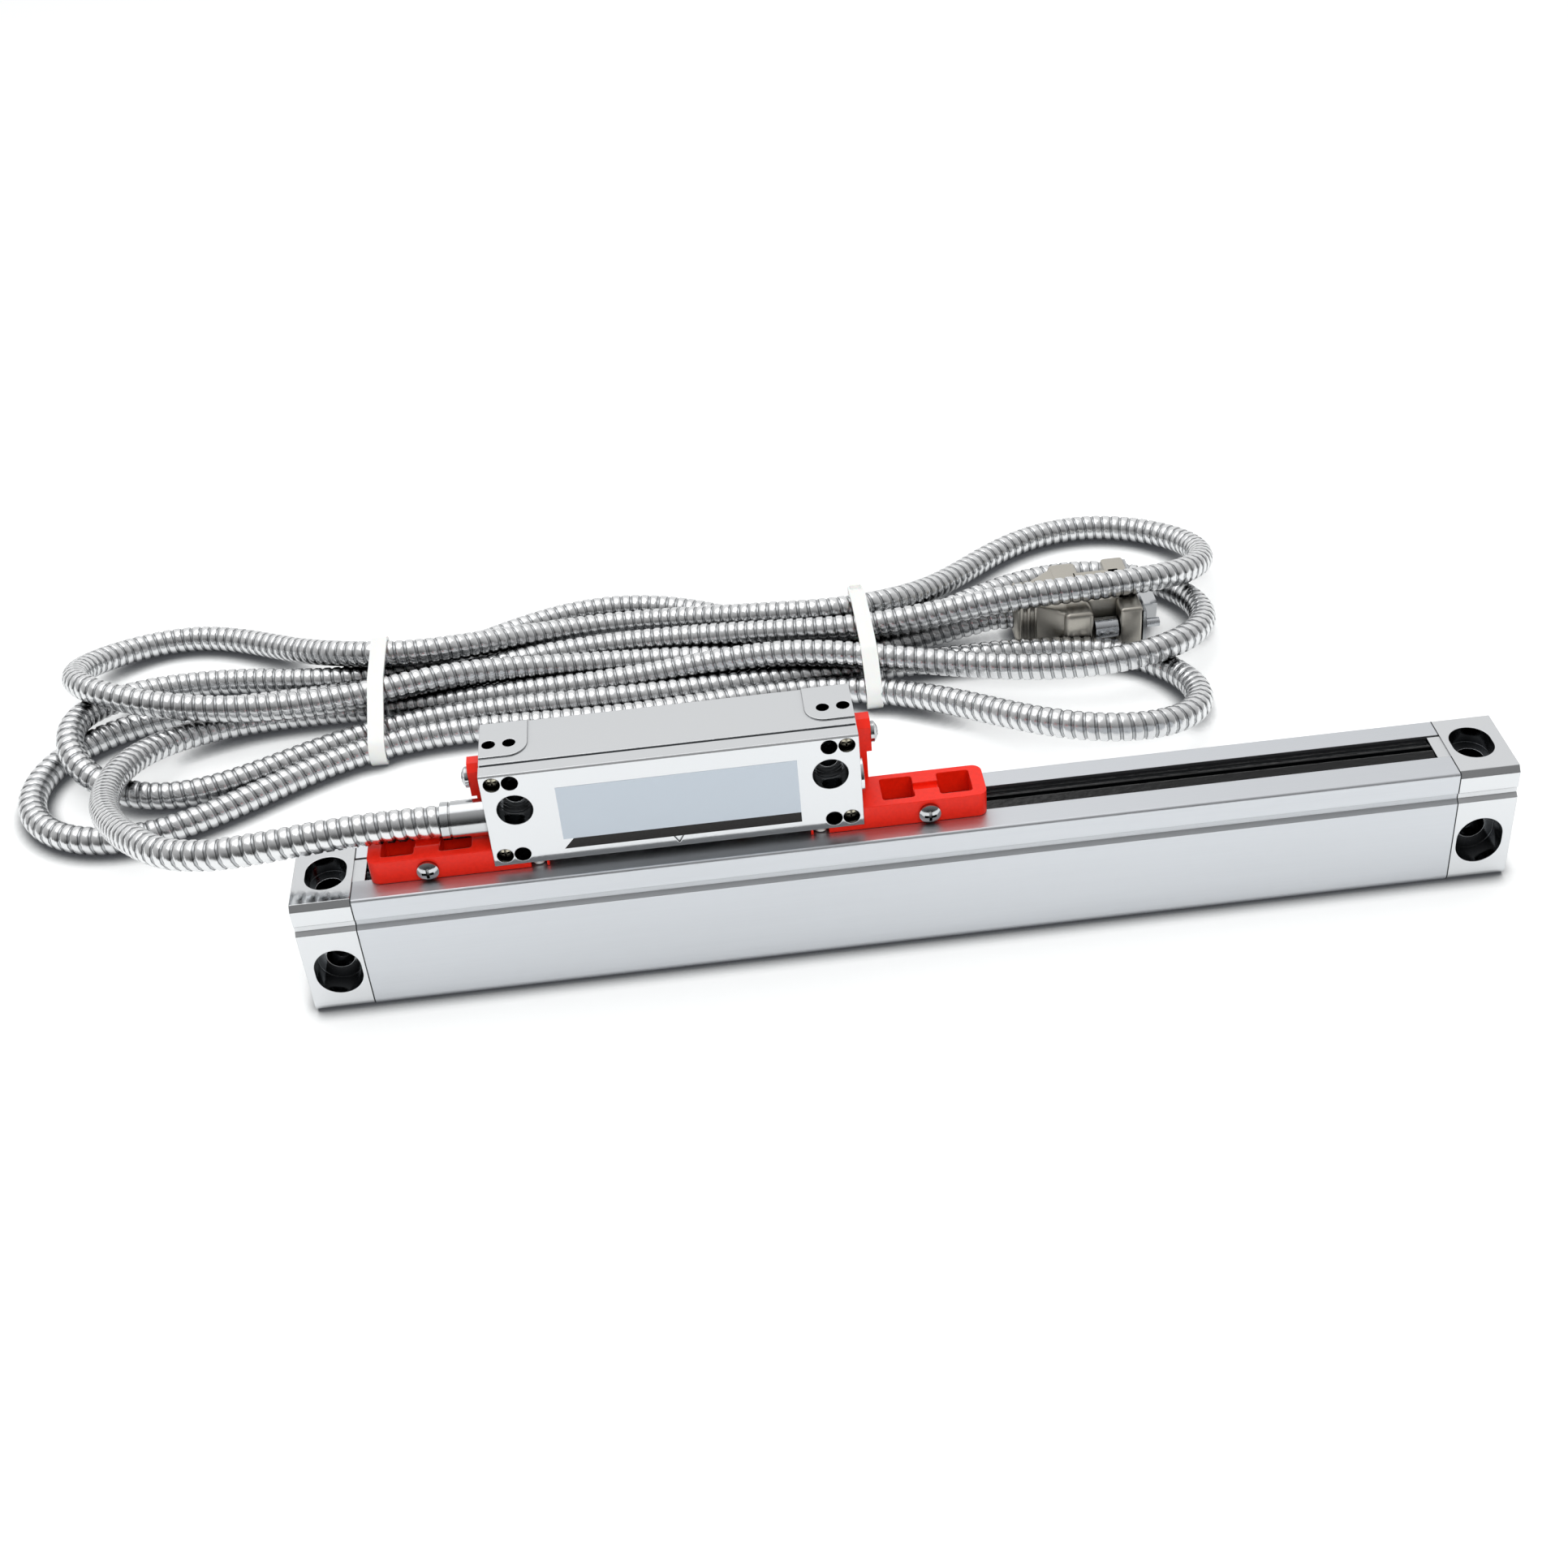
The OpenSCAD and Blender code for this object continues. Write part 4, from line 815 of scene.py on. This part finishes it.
class EncoderMakeStage(bpy.types.Operator):
    """Sets the floor, the soft studio light and the camera at the photograph's view."""

    bl_idname = "encoder.make_stage"
    bl_label = "Stage"

    def execute(self, context):
        self.camera(context)
        self.floor()
        self.world(context)
        power = context.scene.encoder_stage
        self.lamp("key_lamp", KEY_PLACE, KEY_SIZE, power.key)
        front = self.lamp("front_lamp", FRONT_PLACE, FRONT_SIZE, power.front)
        # Metal shows one bright band, that of the studio behind, and not a second one of this lamp
        front.visible_glossy = False
        return {"FINISHED"}

    def camera(self, context):
        """Camera fitted to the photograph."""
        azimuth, elevation, roll = map(math.radians, (CAMERA_AZIMUTH, CAMERA_ELEVATION, CAMERA_ROLL))
        back = Vector((math.sin(azimuth) * math.cos(elevation), -math.cos(azimuth) * math.cos(elevation),
                       math.sin(elevation)))
        right = (-back).cross(Vector((0, 0, 1))).normalized()
        up = right.cross(-back)
        turned_right = math.cos(roll) * right + math.sin(roll) * up
        turned_up = math.cos(roll) * up - math.sin(roll) * right
        data = bpy.data.cameras.new("photo_camera")
        data.sensor_width = 36
        data.lens = CAMERA_LENS
        data.clip_start = 0.01
        data.clip_end = 20
        camera = bpy.data.objects.new("photo_camera", data)
        context.scene.collection.objects.link(camera)
        place = Matrix((turned_right, turned_up, back)).transposed().to_4x4()
        place.translation = Vector(shorter(CAMERA_TARGET)) + back * CAMERA_DISTANCE * MM
        camera.matrix_world = place
        context.scene.camera = camera

    def floor(self):
        """White floor that keeps the object's shadow, with a painted contact shadow in a thin line where
        something rests on it.
        """
        shape = bmesh.new()
        bmesh.ops.create_grid(shape, x_segments=1, y_segments=1, size=6.0)
        mesh = mesh_from(shape, "studio_floor")
        floor = bpy.data.objects.new("studio_floor", mesh)
        floor.location.z = -0.0001
        bpy.context.scene.collection.objects.link(floor)
        material = bpy.data.materials.new("white_floor")
        material.use_nodes = True
        tree = material.node_tree
        tree.nodes.clear()
        # Painted contact shadow: colour and glow darken where something stands within a few millimetres
        near = add(tree, "AmbientOcclusion", {"Distance": 5 * MM}, samples=8)
        painted_contact_shadow = add(tree, "ValToRGB", links={"Fac": near.outputs["AO"]})
        set_stops(painted_contact_shadow.color_ramp, ((0.4, linear("#55575A")), (0.95, linear("#E9EAEA"))))
        sheet = add(tree, "BsdfDiffuse", links={"Color": painted_contact_shadow.outputs[0]})
        glow = add(tree, "Emission", links={"Color": painted_contact_shadow.outputs[0], "Strength": seen_white(tree, 0.38)})
        both = add(tree, "AddShader", links={0: sheet.outputs[0], 1: glow.outputs[0]})
        add(tree, "OutputMaterial", links={"Surface": both.outputs[0]})
        mesh.materials.append(material)

    def world(self, context):
        """Studio light, bright behind and dark low in front, and a backdrop that the camera sees as white."""
        world = bpy.data.worlds.new("studio_world")
        context.scene.world = world
        world.use_nodes = True
        tree = world.node_tree
        tree.nodes.clear()
        place = add(tree, "TexCoord")
        bright = add(tree, "VectorMath", {1: BRIGHT_SIDE}, {0: place.outputs["Generated"]},
                     operation="DOT_PRODUCT")
        share = add(tree, "MapRange", {"From Min": -1.0, "From Max": 1.0}, {"Value": bright.outputs["Value"]})
        spread = add(tree, "ValToRGB", links={"Fac": share.outputs[0]})
        greys = ((0.16, 0.03), (0.3, 0.14), (0.5, 0.42), (0.75, 0.62), (0.91, 0.92))
        set_stops(spread.color_ramp, [(position, (grey, grey, grey, 1)) for position, grey in greys])
        seen = add(tree, "LightPath")
        rays = {0: seen.outputs["Is Camera Ray"], 1: seen.outputs["Is Transmission Ray"]}
        direct = add(tree, "Math", links=rays, operation="MAXIMUM")
        white = add(tree, "Background", {"Color": (1, 1, 1, 1), "Strength": 1.0})
        ambient = context.scene.encoder_stage.ambient
        light = add(tree, "Background", {"Strength": ambient}, {"Color": spread.outputs[0]})
        both = add(tree, "MixShader", links={0: direct.outputs[0], 1: light.outputs[0], 2: white.outputs[0]})
        add(tree, "OutputWorld", links={"Surface": both.outputs[0]})

    def lamp(self, name, place, size, power):
        """Soft rectangular lamp that points at the object."""
        data = bpy.data.lights.new(name, "AREA")
        data.shape = "RECTANGLE"
        data.size, data.size_y = size
        data.energy = power
        lamp = bpy.data.objects.new(name, data)
        bpy.context.scene.collection.objects.link(lamp)
        lamp.location = place
        aim = Vector(LAMP_AIM) - Vector(place)
        lamp.rotation_euler = aim.to_track_quat("-Z", "Y").to_euler()
        return lamp


class EncoderPanel(bpy.types.Panel):
    """Lists the encoder's operators and sizes in the sidebar."""

    bl_idname = "VIEW3D_PT_encoder"
    bl_label = "Linear encoder"
    bl_space_type = "VIEW_3D"
    bl_region_type = "UI"
    bl_category = "Encoder"

    def draw(self, context):
        for operator in OPERATORS:
            self.layout.operator(operator.bl_idname)
        for group in PROPERTY_GROUPS:
            settings = getattr(context.scene, group)
            for name in settings.bl_rna.properties.keys():
                if name not in ("rna_type", "name"):
                    self.layout.prop(settings, name)


OPERATORS = (
    EncoderMakeStage,
    EncoderMakeFinishes,
    EncoderMakeHose,
    EncoderMakeHood,
    EncoderMakeLabel,
)
SLOT_MATERIALS = {}


def register():
    """Registers the property groups, the operators and the panel."""
    for name, group in PROPERTY_GROUPS.items():
        bpy.utils.register_class(group)
        setattr(bpy.types.Scene, name, bpy.props.PointerProperty(type=group))
    for item in OPERATORS + (EncoderPanel,):
        bpy.utils.register_class(item)


def unregister():
    """Undoes register."""
    for item in (EncoderPanel,) + OPERATORS[::-1]:
        bpy.utils.unregister_class(item)
    for name, group in PROPERTY_GROUPS.items():
        delattr(bpy.types.Scene, name)
        bpy.utils.unregister_class(group)


def main():
    """Makes the whole scene."""
    register()
    view = bpy.context.scene.view_settings
    view.view_transform = "Standard"
    bpy.ops.encoder.make_stage()
    bpy.ops.encoder.make_finishes()
    bpy.ops.encoder.make_hose()
    bpy.ops.encoder.make_hood()
    bpy.ops.encoder.make_label()


if __name__ == "__main__":
    main()
